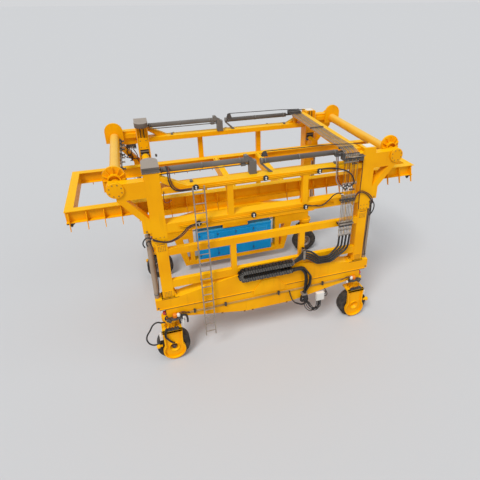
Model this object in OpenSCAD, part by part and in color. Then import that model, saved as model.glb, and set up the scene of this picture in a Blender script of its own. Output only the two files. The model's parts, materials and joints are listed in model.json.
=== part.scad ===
// Mobile gantry crane on four steered rubber tyres, with a telescoping upper frame and a spreader.
// X runs along the machine, -Y is the near side with the ladder, Z is up from level ground.

/* [Portal] */
// Distance between the leg centres along the machine
leg_span_x = 5180; // [4400:10:6400]
// Distance between the centre planes of the two side frames
leg_span_y = 3700; // [3600:10:4400]
// Width of the sills across the machine
sill_w = 300; // [270:5:340]
// How far a sill runs past its leg centre
sill_overhang = 330; // [300:5:380]
// Height of the joint between the wheel beams and the sills
seam_z = 1680; // [1600:10:1760]
// Running gap between a wheel beam and its sill
slide_gap = 5; // [5:1:8]
// Depth of a sill under the masts
sill_depth = 295; // [260:5:320]
// Half length of the level middle of a sill, where the low rail lies on it
sill_flat = 900; // [600:10:1100]
// Length of a keeper plate along its lower edge
keeper_l = 870; // [600:10:1200]
// Height of a keeper plate
keeper_h = 425; // [360:5:440]
// Thickness of a keeper plate
keeper_t = 20; // [14:1:26]

/* [Masts] */
// Width of a mast along the machine
mast_w = 270; // [240:2:278]
// Depth of a mast across the machine
mast_d = 250; // [220:2:258]
// Wall of a mast
mast_wall = 14; // [10:1:20]
// Length of a mast above its sill
mast_l = 3200; // [2900:10:3260]
// Thickness of a mast foot plate
foot_t = 25; // [15:1:35]
// How far a foot plate stands out around its mast
foot_out = 22; // [12:1:25]

/* [Lower rails] */
// Height of the underside of the low rail
low_rail_z = 2266; // [2220:2:2320]
// Depth of the low rail
low_rail_h = 210; // [160:5:230]
// Height of the underside of the mid rail
mid_rail_z = 3196; // [3100:2:3260]
// Depth of the mid rail
mid_rail_h = 178; // [140:2:190]
// Width of the rails across the machine
rail_w = 120; // [80:5:160]
// How far the rails' outer face lies inside the masts' outer face
rail_in = 10; // [0:1:40]
// Distance of the rail posts from the middle
rail_post_x = 905; // [700:5:1100]
// Width of a rail post
rail_post_w = 138; // [100:2:160]

/* [Wheel beams] */
// Half length of a wheel beam
beam_half = 2700; // [2640:10:2900]
// Depth of a wheel beam at its ends
beam_end_h = 320; // [260:5:360]
// Depth of the near wheel beam in the middle
beam_mid_h = 620; // [450:10:700]
// Half length of the level middle of the near wheel beam
beam_flat = 620; // [400:10:900]
// How much narrower a wheel beam is than its sill, on each side
beam_inset = 6; // [5:1:12]
// Height of the underside of the power pack cradle
cradle_z = 290; // [240:5:360]
// Half length of the cradle at its foot
cradle_half = 1780; // [1600:10:1900]
// Half length of the cradle where it meets the beam
cradle_top_half = 2010; // [1930:10:2080]
// Width of the cradle's members
cradle_bar = 150; // [110:5:180]
// Distance of the cradle's inner posts from the middle
cradle_post_x = 1520; // [1460:5:1570]

/* [Wheels] */
// Distance between the wheel centres along the machine
wheel_base = 5250; // [4900:10:5340]
// Diameter of a tyre
tyre_d = 850; // [780:5:890]
// Width of a tyre
tyre_w = 290; // [220:5:310]
// Diameter of a wheel rim
rim_d = 420; // [360:5:480]
// Diameter of a wheel axle
axle_d = 110; // [80:2:140]
// Gap between a tyre and its fork plate
fork_gap = 40; // [20:2:60]
// Thickness of a fork plate
fork_t = 50; // [30:2:60]
// Half width of a fork plate
fork_half = 280; // [240:5:320]
// Thickness of a fork's top plate
fork_top_t = 60; // [40:2:80]
// Gap between a tyre and the top plate of its fork
fork_clear = 100; // [60:5:120]
// Diameter of a slew ring
slew_d = 430; // [360:5:480]
// Height of each half of a slew ring
slew_h = 55; // [40:1:70]
// Diameter of the neck of a steering fork
neck_d = 300; // [240:5:340]

/* [Upper frame] */
// Width of a sleeve along the machine
sleeve_w = 326; // [316:2:350]
// Depth of a sleeve across the machine
sleeve_d = 306; // [296:2:330]
// Wall of a sleeve
sleeve_wall = 16; // [10:1:18]
// Height of the foot of the sleeves, fully lowered
sleeve_z = 3614; // [3500:2:3650]
// Height of the top of the sleeves, fully lowered
sleeve_top = 5290; // [5200:2:5400]
// Running gap between a wear pad and its mast
pad_gap = 0.3; // [0.2:0.1:0.6]
// Height of a row of wear pads
pad_h = 120; // [80:5:160]
// Height of the top face of the top beams
top_beam_z = 4916; // [4880:2:4960]
// Depth of the top beams
top_beam_h = 215; // [150:5:240]
// Width of the top beams
top_beam_w = 290; // [220:5:300]
// Height of the top face of the mid beams
mid_beam_z = 4050; // [4000:2:4120]
// Depth of the mid beams
mid_beam_h = 215; // [150:5:240]
// Width of the mid beams
mid_beam_w = 290; // [220:5:300]
// Distance of the upper posts from the middle
upper_post_x = 925; // [700:5:1100]
// Width of an upper post
upper_post_w = 140; // [100:2:160]
// Thickness of a carriage guide
guide_t = 32; // [20:2:40]
// Depth of a carriage guide
guide_d = 60; // [40:2:80]
// Reach of the haunches along the top beams
haunch_l = 560; // [400:10:700]
// Height of the haunches above the top beams
haunch_h = 320; // [200:10:340]

/* [Arms and cross tubes] */
// Distance of the cross tubes from the middle
tube_x = 3340; // [3200:10:3500]
// Height of the axis of the cross tubes
tube_z = 5018; // [4980:2:5060]
// Outside diameter of a cross tube
tube_d = 245; // [180:5:260]
// Wall of a cross tube
tube_wall = 12; // [8:1:20]
// Diameter of an end disc
disc_d = 400; // [340:5:440]
// Thickness of an end disc
disc_t = 40; // [20:1:60]
// Depth of an arm
arm_h = 340; // [260:5:360]
// Width of an arm across the machine
arm_w = 220; // [160:5:260]
// Foot of an arm's brace on the leg
brace_z = 3890; // [3800:5:3980]
// Radius of the round head of a tube hanger
hanger_r = 240; // [200:5:260]
// Thickness of a tube hanger
hanger_t = 60; // [30:2:80]

/* [Lift and hoist] */
// Outside diameter of a lift cylinder
lift_cyl_d = 125; // [90:1:140]
// Diameter of a lift rod
lift_rod_d = 80; // [50:1:86]
// Gap between a leg and its lift cylinder
lift_gap = 40; // [40:1:60]
// Outside diameter of a hoist cylinder
hoist_cyl_d = 125; // [80:1:140]
// Length of a hoist cylinder
hoist_cyl_l = 1950; // [1500:10:2050]
// Diameter of a hoist cylinder's rod
hoist_rod_d = 60; // [40:1:70]
// Height of a sheave cap
cap_h = 266; // [200:2:300]

/* [Ladder] */
// Distance between the ladder's rails
ladder_w = 250; // [200:5:320]
// Height of the ladder's foot over the ground
ladder_foot = 640; // [400:10:900]
// Distance between two rungs
rung_pitch = 240; // [220:5:300]
// Diameter of a rung
rung_d = 24; // [18:1:30]
// Height at which the lower run ends and the upper run starts
ladder_split = 3420; // [3390:5:3560]

/* [Spreader] */
// Overall length of the spreader
spreader_l = 9090; // [8600:10:9600]
// Overall width of the spreader
spreader_w = 2480; // [2300:10:2560]
// Height of the top of the spreader in its rest place
spreader_z = 4318; // [4280:2:4360]
// Depth of the spreader's beams
spreader_h = 300; // [240:5:340]
// Flange width of the spreader's beams
spreader_flange = 190; // [140:5:220]
// Flange and web thickness of the spreader's beams
spreader_t = 16; // [12:1:25]
// Distance between two guide plates
guide_pitch = 375; // [340:5:420]
// How far the guide plates reach below the beams
guide_drop = 160; // [100:5:200]
// How far the guide plates flare outwards
guide_out = 100; // [60:5:120]
// Width of the end members
end_w = 190; // [150:5:240]
// Height of a spreader carriage above the spreader
carriage_h = 620; // [400:10:700]
// Running gap round a carriage
carriage_gap = 6; // [5:1:10]
// Width of the arms to the carriages
lug_w = 220; // [160:5:240]
// Diameter of a hoist rope
rope_d = 24; // [16:1:32]
// Distance of the twistlocks from the middle along the machine
lock_x = 4459; // [4200:1:4700]
// Distance of the twistlocks from the middle across the machine
lock_y = 1129; // [1100:1:1140]
// Diameter of a twistlock's shank
lock_d = 56; // [40:1:62]
// Length of a twistlock's shank
lock_l = 45; // [30:1:60]

/* [Power pack] */
// Length of the power pack
pack_l = 2570; // [2200:10:2700]
// Height of the power pack
pack_h = 1080; // [900:10:1090]
// Depth of the power pack across the machine
pack_d = 620; // [400:10:700]

/* [Hidden] */
$fn = 48;
leg_x = leg_span_x / 2;
side_y = leg_span_y / 2;
sill_half = leg_x + sill_overhang;
sill_z = seam_z + slide_gap;
foot_z = sill_z + sill_depth;
wheel_x = wheel_base / 2;
beam_w = sill_w - 2 * beam_inset;
beam_end_z = seam_z - beam_end_h;
tyre_r = tyre_d / 2;
fork_top_z = tyre_d + fork_clear + fork_top_t;
fork_y = tyre_w / 2 + fork_gap;
slew_z = beam_end_z - slew_h;
mast_top = foot_z + mast_l;
rail_y = mast_d / 2 - rail_in - rail_w;
lift_x = leg_x + sleeve_w / 2 + lift_gap + lift_cyl_d / 2;
rod_top = brace_z + 60;
barrel_top = rod_top - 180;
spreader_y = spreader_w / 2;

// A box between its lowest and its highest corner
module span(lo, hi) translate(lo) cube(hi - lo);

// A flat outline in X and Z, thickened from y to y + t
module plate(y, t) translate([0, y + t, 0]) rotate([90, 0, 0]) linear_extrude(t) children();

// A flat outline in Y and Z, thickened from x to x + t
module wall_x(x, t) translate([x, 0, 0]) rotate([90, 0, 90]) linear_extrude(t) children();

// A round bar along Y
module bar_y(x, z, d, y0, y1) translate([x, y1, z]) rotate([90, 0, 0]) cylinder(d = d, h = y1 - y0);

// A round bar along X
module bar_x(y, z, d, x0, x1) translate([x0, y, z]) rotate([0, 90, 0]) cylinder(d = d, h = x1 - x0);

// Children drawn with +Y pointing out of the machine, put on the near or the far side frame
module near_side() mirror([0, 1, 0]) translate([0, side_y, 0]) children();
module far_side() translate([0, side_y, 0]) children();
module both_sides() {
    near_side() children();
    far_side() children();
}

// Children at +X and again at -X
module both_ends() {
    children();
    mirror([1, 0, 0]) children();
}

// A square tube along Z with its foot at z
module box_tube(x, z, w, d, wall, h) translate([x, 0, z]) difference() {
    translate([-w / 2, -d / 2, 0]) cube([w, d, h]);
    translate([-w / 2 + wall, -d / 2 + wall, -1]) cube([w - 2 * wall, d - 2 * wall, h + 2]);
}

// Sill with its keeper plates and wear pads
module sill() {
    keeper_y = sill_w / 2;
    plate(-sill_w / 2, sill_w) polygon([[-sill_half, sill_z], [sill_half, sill_z],
        [sill_half, foot_z], [leg_x - mast_w / 2 - 60, foot_z], [sill_flat, low_rail_z],
        [-sill_flat, low_rail_z], [-leg_x + mast_w / 2 + 60, foot_z], [-sill_half, foot_z]]);
    for (y = [keeper_y, -keeper_y - keeper_t])
        plate(y, keeper_t) polygon([[-keeper_l / 2, foot_z - keeper_h], [keeper_l / 2, foot_z - keeper_h],
            [keeper_l / 2, sill_z], [keeper_l * 0.24, foot_z], [-keeper_l * 0.24, foot_z],
            [-keeper_l / 2, sill_z]]);
    for (x = [-leg_x, -sill_flat, sill_flat, leg_x])
        span([x - 150, -beam_w / 2 + 10, seam_z], [x + 150, beam_w / 2 - 10, sill_z]);
}
module near_sill() color("gold") near_side() sill();
module far_sill() color("gold") far_side() sill();

// Two masts with their foot plates
module masts() both_ends() {
    box_tube(leg_x, foot_z + foot_t, mast_w, mast_d, mast_wall, mast_l - foot_t);
    translate([leg_x - mast_w / 2 - foot_out, -mast_d / 2 - foot_out, foot_z])
        cube([mast_w + 2 * foot_out, mast_d + 2 * foot_out, foot_t]);
}
module near_masts() color("gold") near_side() masts();
module far_masts() color("gold") far_side() masts();

// Rails and posts between two masts
module rails() {
    rail_half = leg_x - mast_w / 2;
    for (r = [[low_rail_z, low_rail_h], [mid_rail_z, mid_rail_h]])
        span([-rail_half, rail_y, r[0]], [rail_half, rail_y + rail_w, r[0] + r[1]]);
    both_ends()
        span([rail_post_x - rail_post_w / 2, rail_y, low_rail_z + low_rail_h],
            [rail_post_x + rail_post_w / 2, rail_y + rail_w, mid_rail_z]);
}
module near_rails() color("gold") near_side() rails();
module far_rails() color("gold") far_side() rails();

// Lift cylinder barrels on the sills, outside the legs
module lift_barrels() color("dimgray") both_sides() both_ends() {
    translate([lift_x, 0, foot_z]) difference() {
        cylinder(d = lift_cyl_d, h = barrel_top - foot_z);
        translate([0, 0, 60]) cylinder(d = lift_rod_d + 0.6, h = barrel_top - foot_z);
    }
}

// Looped chain of links that carries the hoses to the near wheel beam
module energy_chain() color([0.1, 0.1, 0.1]) near_side() {
    chain_r = 213;
    chain_t = 85;
    chain_w = 110;
    bend_x = -640;
    end_x = 520;
    z0 = 2070 + chain_r;
    plate(sill_w / 2 + 0, chain_w) difference() {
        union() {
            translate([bend_x, z0]) circle(chain_r);
            translate([bend_x, z0 - chain_r]) square([end_x - bend_x, 2 * chain_r]);
        }
        translate([bend_x, z0]) circle(chain_r - chain_t);
        translate([bend_x, z0 - chain_r + chain_t]) square([end_x - bend_x + 1, 2 * (chain_r - chain_t)]);
    }
}

// Near wheel beam, deeper in the middle
module near_wheel_beam() color("gold") near_side() {
    plate(-beam_w / 2, beam_w) polygon([[-beam_half, seam_z], [beam_half, seam_z],
        [beam_half, beam_end_z], [wheel_x - slew_d / 2 - 20, beam_end_z],
        [beam_flat, seam_z - beam_mid_h], [-beam_flat, seam_z - beam_mid_h],
        [-wheel_x + slew_d / 2 + 20, beam_end_z], [-beam_half, beam_end_z]]);
    slew_ring_tops();
}

// Fixed upper halves of the slew rings
module slew_ring_tops() both_ends() translate([wheel_x, 0, slew_z]) cylinder(d = slew_d, h = slew_h);

// Far wheel beam, drawn down as a cradle for the power pack
module far_wheel_beam() color("gold") far_side() {
    plate(-beam_w / 2, beam_w) difference() {
        polygon([[-beam_half, seam_z], [beam_half, seam_z], [beam_half, beam_end_z],
            [cradle_top_half + 60, beam_end_z], [cradle_half, cradle_z], [-cradle_half, cradle_z],
            [-cradle_top_half - 60, beam_end_z], [-beam_half, beam_end_z]]);
        pack_x = cradle_post_x - cradle_bar / 2;
        window_z = cradle_z + cradle_bar + 20;
        polygon([[-pack_x, seam_z + 1], [pack_x, seam_z + 1],
            [pack_x, cradle_z + cradle_bar], [-pack_x, cradle_z + cradle_bar]]);
        for (s = [-1, 1]) scale([s, 1]) polygon([[pack_x + cradle_bar, window_z],
            [cradle_half + 20 - cradle_bar, window_z], [cradle_top_half - 60 - cradle_bar, beam_end_z - 20],
            [pack_x + cradle_bar, beam_end_z - 20]]);
    }
    slew_ring_tops();
}

// Power pack housing in the cradle
module power_pack() color("deepskyblue") far_side() {
    span([-pack_l / 2, -beam_w / 2, cradle_z + cradle_bar], [pack_l / 2, -beam_w / 2 + pack_d, cradle_z + cradle_bar + pack_h - 60]);
}
module pack_lid() color("gray") far_side()
    span([-pack_l / 2 - 15, -beam_w / 2 - 10, cradle_z + cradle_bar + pack_h - 60],
        [pack_l / 2 + 15, -beam_w / 2 + pack_d + 15, cradle_z + cradle_bar + pack_h]);

// Steering fork: slew ring half, neck, top plate and one outer plate with a deep dished hub
module fork() {
    plate_z = 340;
    translate([0, 0, slew_z - slew_h]) cylinder(d = slew_d, h = slew_h - 0.5);
    translate([0, 0, fork_top_z - 1]) cylinder(d = neck_d, h = slew_z - slew_h - fork_top_z + 1);
    translate([-fork_half, -tyre_w / 2, fork_top_z - fork_top_t]) cube([2 * fork_half, tyre_w / 2 + fork_y + fork_t, fork_top_t]);
    difference() {
        plate(fork_y, fork_t) union() {
            translate([0, plate_z]) circle(fork_half + 10);
            translate([-fork_half, plate_z]) square([2 * fork_half, fork_top_z - plate_z]);
        }
        translate([0, fork_y + fork_t + 1, tyre_r]) rotate([90, 0, 0]) cylinder(r = 170, h = fork_t - 15);
        bar_y(0, tyre_r, axle_d + 0.6, 0, fork_y + fork_t + 1);
    }
}

// Wheel parts, drawn about their own centre with the hub towards +Y
module tyre() rotate([90, 0, 0]) rotate_extrude($fn = 96) translate([0, 0]) difference() {
    translate([rim_d / 2, -tyre_w / 2]) square([tyre_r - rim_d / 2, tyre_w]);
    for (s = [-1, 1]) translate([tyre_r, s * tyre_w / 2]) rotate(45) square([50, 50], center = true);
}
module rim() {
    rotate([90, 0, 0]) difference() {
        cylinder(d = rim_d - 0.4, h = tyre_w - 40, center = true, $fn = 96);
        for (s = [-1, 1]) translate([0, 0, s * (tyre_w / 2 - 20)]) cylinder(d = rim_d - 70, h = 120, center = true, $fn = 96);
    }
    bar_y(0, 0, axle_d, -tyre_w / 2 + 40, fork_y + fork_t - 20);
}

module corner(sx, sy) {
    if (sy < 0) near_side() translate([sx * wheel_x, 0, 0]) children();
    else far_side() translate([sx * wheel_x, 0, 0]) children();
}
module near_left_fork() color("gold") corner(-1, -1) fork();
module near_right_fork() color("gold") corner(1, -1) fork();
module far_left_fork() color("gold") corner(-1, 1) fork();
module far_right_fork() color("gold") corner(1, 1) fork();
module near_left_tyre() color("dimgray") corner(-1, -1) translate([0, 0, tyre_r]) tyre();
module near_right_tyre() color("dimgray") corner(1, -1) translate([0, 0, tyre_r]) tyre();
module far_left_tyre() color("dimgray") corner(-1, 1) translate([0, 0, tyre_r]) tyre();
module far_right_tyre() color("dimgray") corner(1, 1) translate([0, 0, tyre_r]) tyre();
module near_left_rim() color("silver") corner(-1, -1) translate([0, 0, tyre_r]) rim();
module near_right_rim() color("silver") corner(1, -1) translate([0, 0, tyre_r]) rim();
module far_left_rim() color("silver") corner(-1, 1) translate([0, 0, tyre_r]) rim();
module far_right_rim() color("silver") corner(1, 1) translate([0, 0, tyre_r]) rim();

// Sleeves that slide on the masts, with wear pads at the foot and the head
module sleeves() both_ends() {
    box_tube(leg_x, sleeve_z, sleeve_w, sleeve_d, sleeve_wall, sleeve_top - sleeve_z);
    translate([leg_x - sleeve_w / 2, -sleeve_d / 2, sleeve_top - 14]) cube([sleeve_w, sleeve_d, 14]);
    for (z = [sleeve_z + 10, sleeve_z + 10 + pad_h * 3]) {
        pad_x = sleeve_w / 2 - sleeve_wall;
        pad_y = sleeve_d / 2 - sleeve_wall;
        for (s = [-1, 1]) {
            translate([leg_x + s * (mast_w / 2 + pad_gap + pad_x) / 2, 0, z + pad_h / 2])
                cube([pad_x - mast_w / 2 - pad_gap, mast_d * 0.7, pad_h], center = true);
            translate([leg_x, s * (mast_d / 2 + pad_gap + pad_y) / 2, z + pad_h / 2])
                cube([mast_w * 0.7, pad_y - mast_d / 2 - pad_gap, pad_h], center = true);
        }
    }
}
// Guide channel for a spreader carriage on the inner face of a sleeve
module carriage_guides() both_ends() for (s = [-1, 1])
    translate([leg_x + s * (sleeve_w - guide_t) / 2 - guide_t / 2, -sleeve_d / 2 - guide_d, sleeve_z])
        cube([guide_t, guide_d, sleeve_top - sleeve_z]);
module near_sleeves() color("gold") near_side() {
    sleeves();
    carriage_guides();
}
module far_sleeves() color("gold") far_side() {
    sleeves();
    carriage_guides();
}

// Top beam with its haunches
module top_beam() {
    beam_x = leg_x - sleeve_w / 2;
    span([-beam_x, sleeve_d / 2 - top_beam_w - 8, top_beam_z - top_beam_h], [beam_x, sleeve_d / 2 - 8, top_beam_z]);
    both_ends() plate(sleeve_d / 2 - 8 - 150, 150)
        polygon([[beam_x, top_beam_z], [beam_x - haunch_l, top_beam_z], [beam_x, top_beam_z + haunch_h]]);
}
module upper_posts() color("gold") both_sides() both_ends()
    span([upper_post_x - upper_post_w / 2, sleeve_d / 2 - 128, mid_beam_z],
        [upper_post_x + upper_post_w / 2, sleeve_d / 2 - 8, top_beam_z - top_beam_h]);
module near_top_beam() color("gold") near_side() top_beam();
module far_top_beam() color("gold") far_side() top_beam();
module mid_beam() {
    beam_x = leg_x - sleeve_w / 2;
    span([-beam_x, sleeve_d / 2 - mid_beam_w - 8, mid_beam_z - mid_beam_h], [beam_x, sleeve_d / 2 - 8, mid_beam_z]);
}
module mid_beams() color("gold") both_sides() mid_beam();

// Arms with their braces, and the brackets of the lift rods
module arms() both_ends() {
    face_x = leg_x + sleeve_w / 2;
    arm_top = tube_z + 118;
    arm_low = arm_top - arm_h;
    plate(sleeve_d / 2 - arm_w, arm_w) difference() {
        union() {
            polygon([[face_x, arm_top], [tube_x, arm_top], [tube_x + 150, arm_low], [lift_x + 75, brace_z + 440],
                [lift_x + 75, brace_z], [face_x, brace_z]]);
            translate([tube_x, tube_z]) circle(d = disc_d);
        }
        polygon([[face_x + 30, arm_low], [tube_x - 150, arm_low + 20], [face_x + 30, brace_z + 560]]);
    }
}
module near_arms() color("gold") near_side() arms();
module far_arms() color("gold") far_side() arms();
module end_discs() color("gold") both_sides() both_ends()
    bar_y(tube_x, tube_z, disc_d - 30, sleeve_d / 2, sleeve_d / 2 + disc_t);

// Cross tubes between the two side frames, with their grey shafts
module cross_tube() {
    hanger_y = side_y - sleeve_d / 2 - hanger_t;
    difference() {
        bar_y(tube_x, tube_z, tube_d, -hanger_y, hanger_y);
        bar_y(tube_x, tube_z, tube_d - 2 * tube_wall, -hanger_y - 1, hanger_y + 1);
    }
}
module cross_tubes() color("gold") both_ends() cross_tube();
module tube_hangers() color("gold") both_sides() both_ends() {
    hanger_y = -sleeve_d / 2 - hanger_t;
    plate(hanger_y, hanger_t) union() {
        translate([tube_x, tube_z + 170]) circle(hanger_r);
        translate([tube_x - hanger_r, tube_z - 150]) square([2 * hanger_r, 320]);
    }
    bar_y(tube_x, tube_z, 270, -sleeve_d / 2, sleeve_d / 2 - arm_w);
    span([leg_x + sleeve_w / 2, -sleeve_d / 2, tube_z - 60], [tube_x, sleeve_d / 2 - arm_w, tube_z + 60]);
}

// Grey caps over the chain sheaves, on the left legs
module sheave_caps() color("darkgray") both_sides() mirror([1, 0, 0])
    translate([leg_x, 0, sleeve_top]) intersection() {
        translate([-185, -sleeve_d / 2 - 300, 0]) cube([370, sleeve_d + 300, cap_h]);
        union() {
            translate([0, -sleeve_d / 2 - 120, 0]) cylinder(r = 190, h = cap_h);
            translate([-185, -sleeve_d / 2 - 120, 0]) cube([370, sleeve_d + 120, cap_h]);
        }
    }

// Hoist cylinders end to end on the top beams
module hoist_pair() {
    left_y = -sleeve_d / 2 + 60;
    right_y = -40;
    z = top_beam_z + 340;
    bar_x(left_y, z, hoist_cyl_d, -leg_x + sleeve_w / 2 + 40, -leg_x + sleeve_w / 2 + 40 + hoist_cyl_l);
    bar_x(right_y, z - 20, hoist_cyl_d, -150, -150 + hoist_cyl_l);
    bar_x(left_y, z, hoist_rod_d, -leg_x + sleeve_w / 2, -leg_x + sleeve_w / 2 + 45);
    bar_x(right_y, z - 20, hoist_rod_d, -155 + hoist_cyl_l, leg_x - sleeve_w / 2);
}
module hoist_cylinders() color("gray") both_sides() hoist_pair();
module pedestals() color("gray") both_sides() difference() {
    z = top_beam_z + 340;
    union() {
        span([-420, -sleeve_d / 2 - 20, top_beam_z], [-300, 40, z - 30]);
        span([0, -120, top_beam_z], [90, 40, z - 50]);
    }
    bar_x(-sleeve_d / 2 + 60, z, hoist_cyl_d + 0.6, -500, -100);
    bar_x(-40, z - 20, hoist_cyl_d + 0.6, -100, 200);
}
module lift_rods() color("silver") both_sides() both_ends()
    translate([lift_x, 0, foot_z + 65]) cylinder(d = lift_rod_d, h = brace_z - foot_z - 65);

// Bridge that carries the hoses across the machine at the right end
module hose_bridge() color("gold") {
    bridge_half = side_y - sleeve_d / 2 + 30;
    span([2060, -bridge_half, top_beam_z], [2260, bridge_half, top_beam_z + 120]);
}

// Ladder on the near side: a lower run on the rails and an upper run on the upper frame
ladder_x = -1650;
ladder_y = sill_w / 2 + 110;
module ladder_run(z0, z1, first, count, arms) near_side() {
    for (x = [ladder_x - ladder_w / 2, ladder_x + ladder_w / 2])
        span([x - 12, ladder_y - 22, z0], [x + 12, ladder_y + 22, z1]);
    for (i = [0 : count - 1])
        bar_x(ladder_y, first + rung_pitch * i, rung_d, ladder_x - ladder_w / 2, ladder_x + ladder_w / 2);
    for (a = arms) for (x = [ladder_x - ladder_w / 2, ladder_x + ladder_w / 2])
        span([x - 12, a[1], a[0] - 20], [x + 12, ladder_y, a[0] + 20]);
}
module lower_ladder() color("silver")
    ladder_run(ladder_foot, ladder_split - 5, ladder_foot + 120, floor((ladder_split - ladder_foot - 200) / rung_pitch) + 1,
        [[low_rail_z + low_rail_h / 2, rail_y + rail_w], [mid_rail_z + mid_rail_h / 2, rail_y + rail_w]]);
module upper_ladder() color("silver")
    ladder_run(ladder_split, top_beam_z, ladder_split + 120, floor((top_beam_z - ladder_split - 200) / rung_pitch) + 1,
        [[mid_beam_z - mid_beam_h / 2, sleeve_d / 2 - 8], [top_beam_z - top_beam_h / 2, sleeve_d / 2 - 8]]);

// Spreader
module spreader_beams() color("gold") both_sides_at(spreader_y) {
    half = spreader_l / 2;
    plate_lo = spreader_z - spreader_h;
    for (z = [plate_lo, spreader_z - spreader_t])
        span([-half, -spreader_flange, z], [half, 0, z + spreader_t]);
    span([-half, -spreader_flange / 2 - spreader_t / 2, plate_lo + spreader_t],
        [half, -spreader_flange / 2 + spreader_t / 2, spreader_z - spreader_t]);
}
module both_sides_at(y) {
    translate([0, y, 0]) children();
    mirror([0, 1, 0]) translate([0, y, 0]) children();
}
module spreader_guides() color("gold") both_sides_at(spreader_y) {
    count = floor((spreader_l / 2 - 60) / guide_pitch);
    for (s = [-1, 1]) for (i = [0 : count - 1]) let (x = spreader_l / 2 - 75 - i * guide_pitch)
        if (abs(x - leg_x) > lug_w / 2 + 20) wall_x(s * x - 8, 16)
            polygon([[-spreader_flange / 2 + spreader_t / 2, spreader_z - spreader_t], [0, spreader_z - spreader_t - 70],
                [guide_out, spreader_z - spreader_h - guide_drop], [guide_out - 45, spreader_z - spreader_h - guide_drop],
                [0, spreader_z - spreader_h - 20], [0, spreader_z - spreader_h + spreader_t],
                [-spreader_flange / 2 + spreader_t / 2, spreader_z - spreader_h + spreader_t]]);
}
module spreader_ends() color("gold") both_ends()
    span([spreader_l / 2 - end_w, -spreader_y + spreader_flange, spreader_z - spreader_h + 20],
        [spreader_l / 2, spreader_y - spreader_flange, spreader_z]);
module spreader_cross_members() color("gold") both_ends()
    span([560, -spreader_y + spreader_flange, spreader_z - spreader_h + 20],
        [720, spreader_y - spreader_flange, spreader_z]);
// Arms from the spreader to its carriages in the guide channels
module spreader_lugs() color("gold") both_sides() both_ends() {
    carriage_w = sleeve_w - 2 * guide_t - 2 * carriage_gap;
    face_y = -sleeve_d / 2 - carriage_gap;
    span([leg_x - carriage_w / 2, face_y - guide_d + 10, spreader_z - spreader_h + 50],
        [leg_x + carriage_w / 2, face_y, spreader_z + carriage_h]);
    plate(spreader_y - side_y, side_y - spreader_y + face_y - guide_d + 10) union() {
        translate([leg_x - lug_w / 2, spreader_z - spreader_h + 50]) square([lug_w, spreader_h]);
        translate([leg_x, spreader_z + 50]) circle(d = lug_w);
    }
}

// Hoist ropes from the sheaves down to the carriages
module hoist_ropes() color("dimgray") both_sides() both_ends() for (s = [-1, 1])
    translate([leg_x + s * 45, -sleeve_d / 2 - guide_d / 2, spreader_z + carriage_h])
        cylinder(d = rope_d, h = sleeve_top - spreader_z - carriage_h);

// Twistlocks under the corners of the spreader
module twistlocks() color("silver") both_sides_at(lock_y) both_ends() {
    top_z = spreader_z - spreader_h;
    span([lock_x - 85, -85, top_z - 40], [lock_x + 85, 85, top_z]);
    translate([lock_x, 0, top_z - 40 - lock_l]) cylinder(d = lock_d, h = lock_l + 1);
    translate([lock_x, 0, top_z - 40 - lock_l - 50]) cylinder(d1 = 40, d2 = 96, h = 50);
}

near_sill();
far_sill();
near_masts();
far_masts();
near_rails();
far_rails();
lift_barrels();
energy_chain();
near_wheel_beam();
far_wheel_beam();
power_pack();
pack_lid();
near_left_fork();
near_right_fork();
far_left_fork();
far_right_fork();
near_left_tyre();
near_right_tyre();
far_left_tyre();
far_right_tyre();
near_left_rim();
near_right_rim();
far_left_rim();
far_right_rim();
near_sleeves();
far_sleeves();
near_top_beam();
far_top_beam();
mid_beams();
upper_posts();
near_arms();
far_arms();
end_discs();
cross_tubes();
tube_hangers();
sheave_caps();
hoist_cylinders();
pedestals();
lift_rods();
hose_bridge();
lower_ladder();
upper_ladder();
hoist_ropes();
spreader_beams();
spreader_guides();
spreader_ends();
spreader_cross_members();
spreader_lugs();
twistlocks();
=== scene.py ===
"""Finishes, light, finer forms and small fittings of a mobile gantry crane on four steered wheels."""

import json
import math

import bmesh
import bpy
from mathutils import Matrix, Vector


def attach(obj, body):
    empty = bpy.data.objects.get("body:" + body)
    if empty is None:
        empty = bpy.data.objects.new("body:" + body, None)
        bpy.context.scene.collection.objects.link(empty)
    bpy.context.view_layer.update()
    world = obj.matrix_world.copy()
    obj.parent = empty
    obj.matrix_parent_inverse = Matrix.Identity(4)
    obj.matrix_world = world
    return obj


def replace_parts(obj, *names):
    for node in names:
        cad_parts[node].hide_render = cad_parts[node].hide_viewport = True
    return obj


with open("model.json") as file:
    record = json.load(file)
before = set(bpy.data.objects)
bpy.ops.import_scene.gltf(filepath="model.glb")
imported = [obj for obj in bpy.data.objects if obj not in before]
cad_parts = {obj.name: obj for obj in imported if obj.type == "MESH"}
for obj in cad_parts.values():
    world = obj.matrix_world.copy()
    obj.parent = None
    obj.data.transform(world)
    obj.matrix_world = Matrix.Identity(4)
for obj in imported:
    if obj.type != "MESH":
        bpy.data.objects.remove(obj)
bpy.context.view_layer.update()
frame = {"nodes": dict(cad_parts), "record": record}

# Driving sizes in mm, as in the solids. X is from the middle of the machine and Z from the ground.
# A distance out is from the centre plane of a side frame.
MM = 0.001
SIDE_PLANE = 1850  # from the middle to the centre plane of a side frame
WHEEL_X, HUB_Z = 2625, 425  # a wheel's steering axis and its axle
LEG_X = 2590  # a leg's axis
SLEEVE_IN, SLEEVE_OUT = 2427, 2753  # the two ends of a leg's sleeve along X
LIFT_X = 2855.5  # a lift cylinder's axis
TUBE_X, TUBE_Z, DISC_Z = 3340, 5131, 5018  # a cross tube's axis, and the centre of an end disc under it
BEAM_FACE, ARM_FACE, ARM_LOW = 145, 153, 4751  # outer faces of beams and arms, and an arm's lower edge
BEAM_LOW, BEAM_TOP, SILL_TOP = 4784, 4916, 1980  # a slim top beam, and a sill
CAP_LOW, CAP_TOP = 5290, 5420  # a low sheave cap
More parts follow.
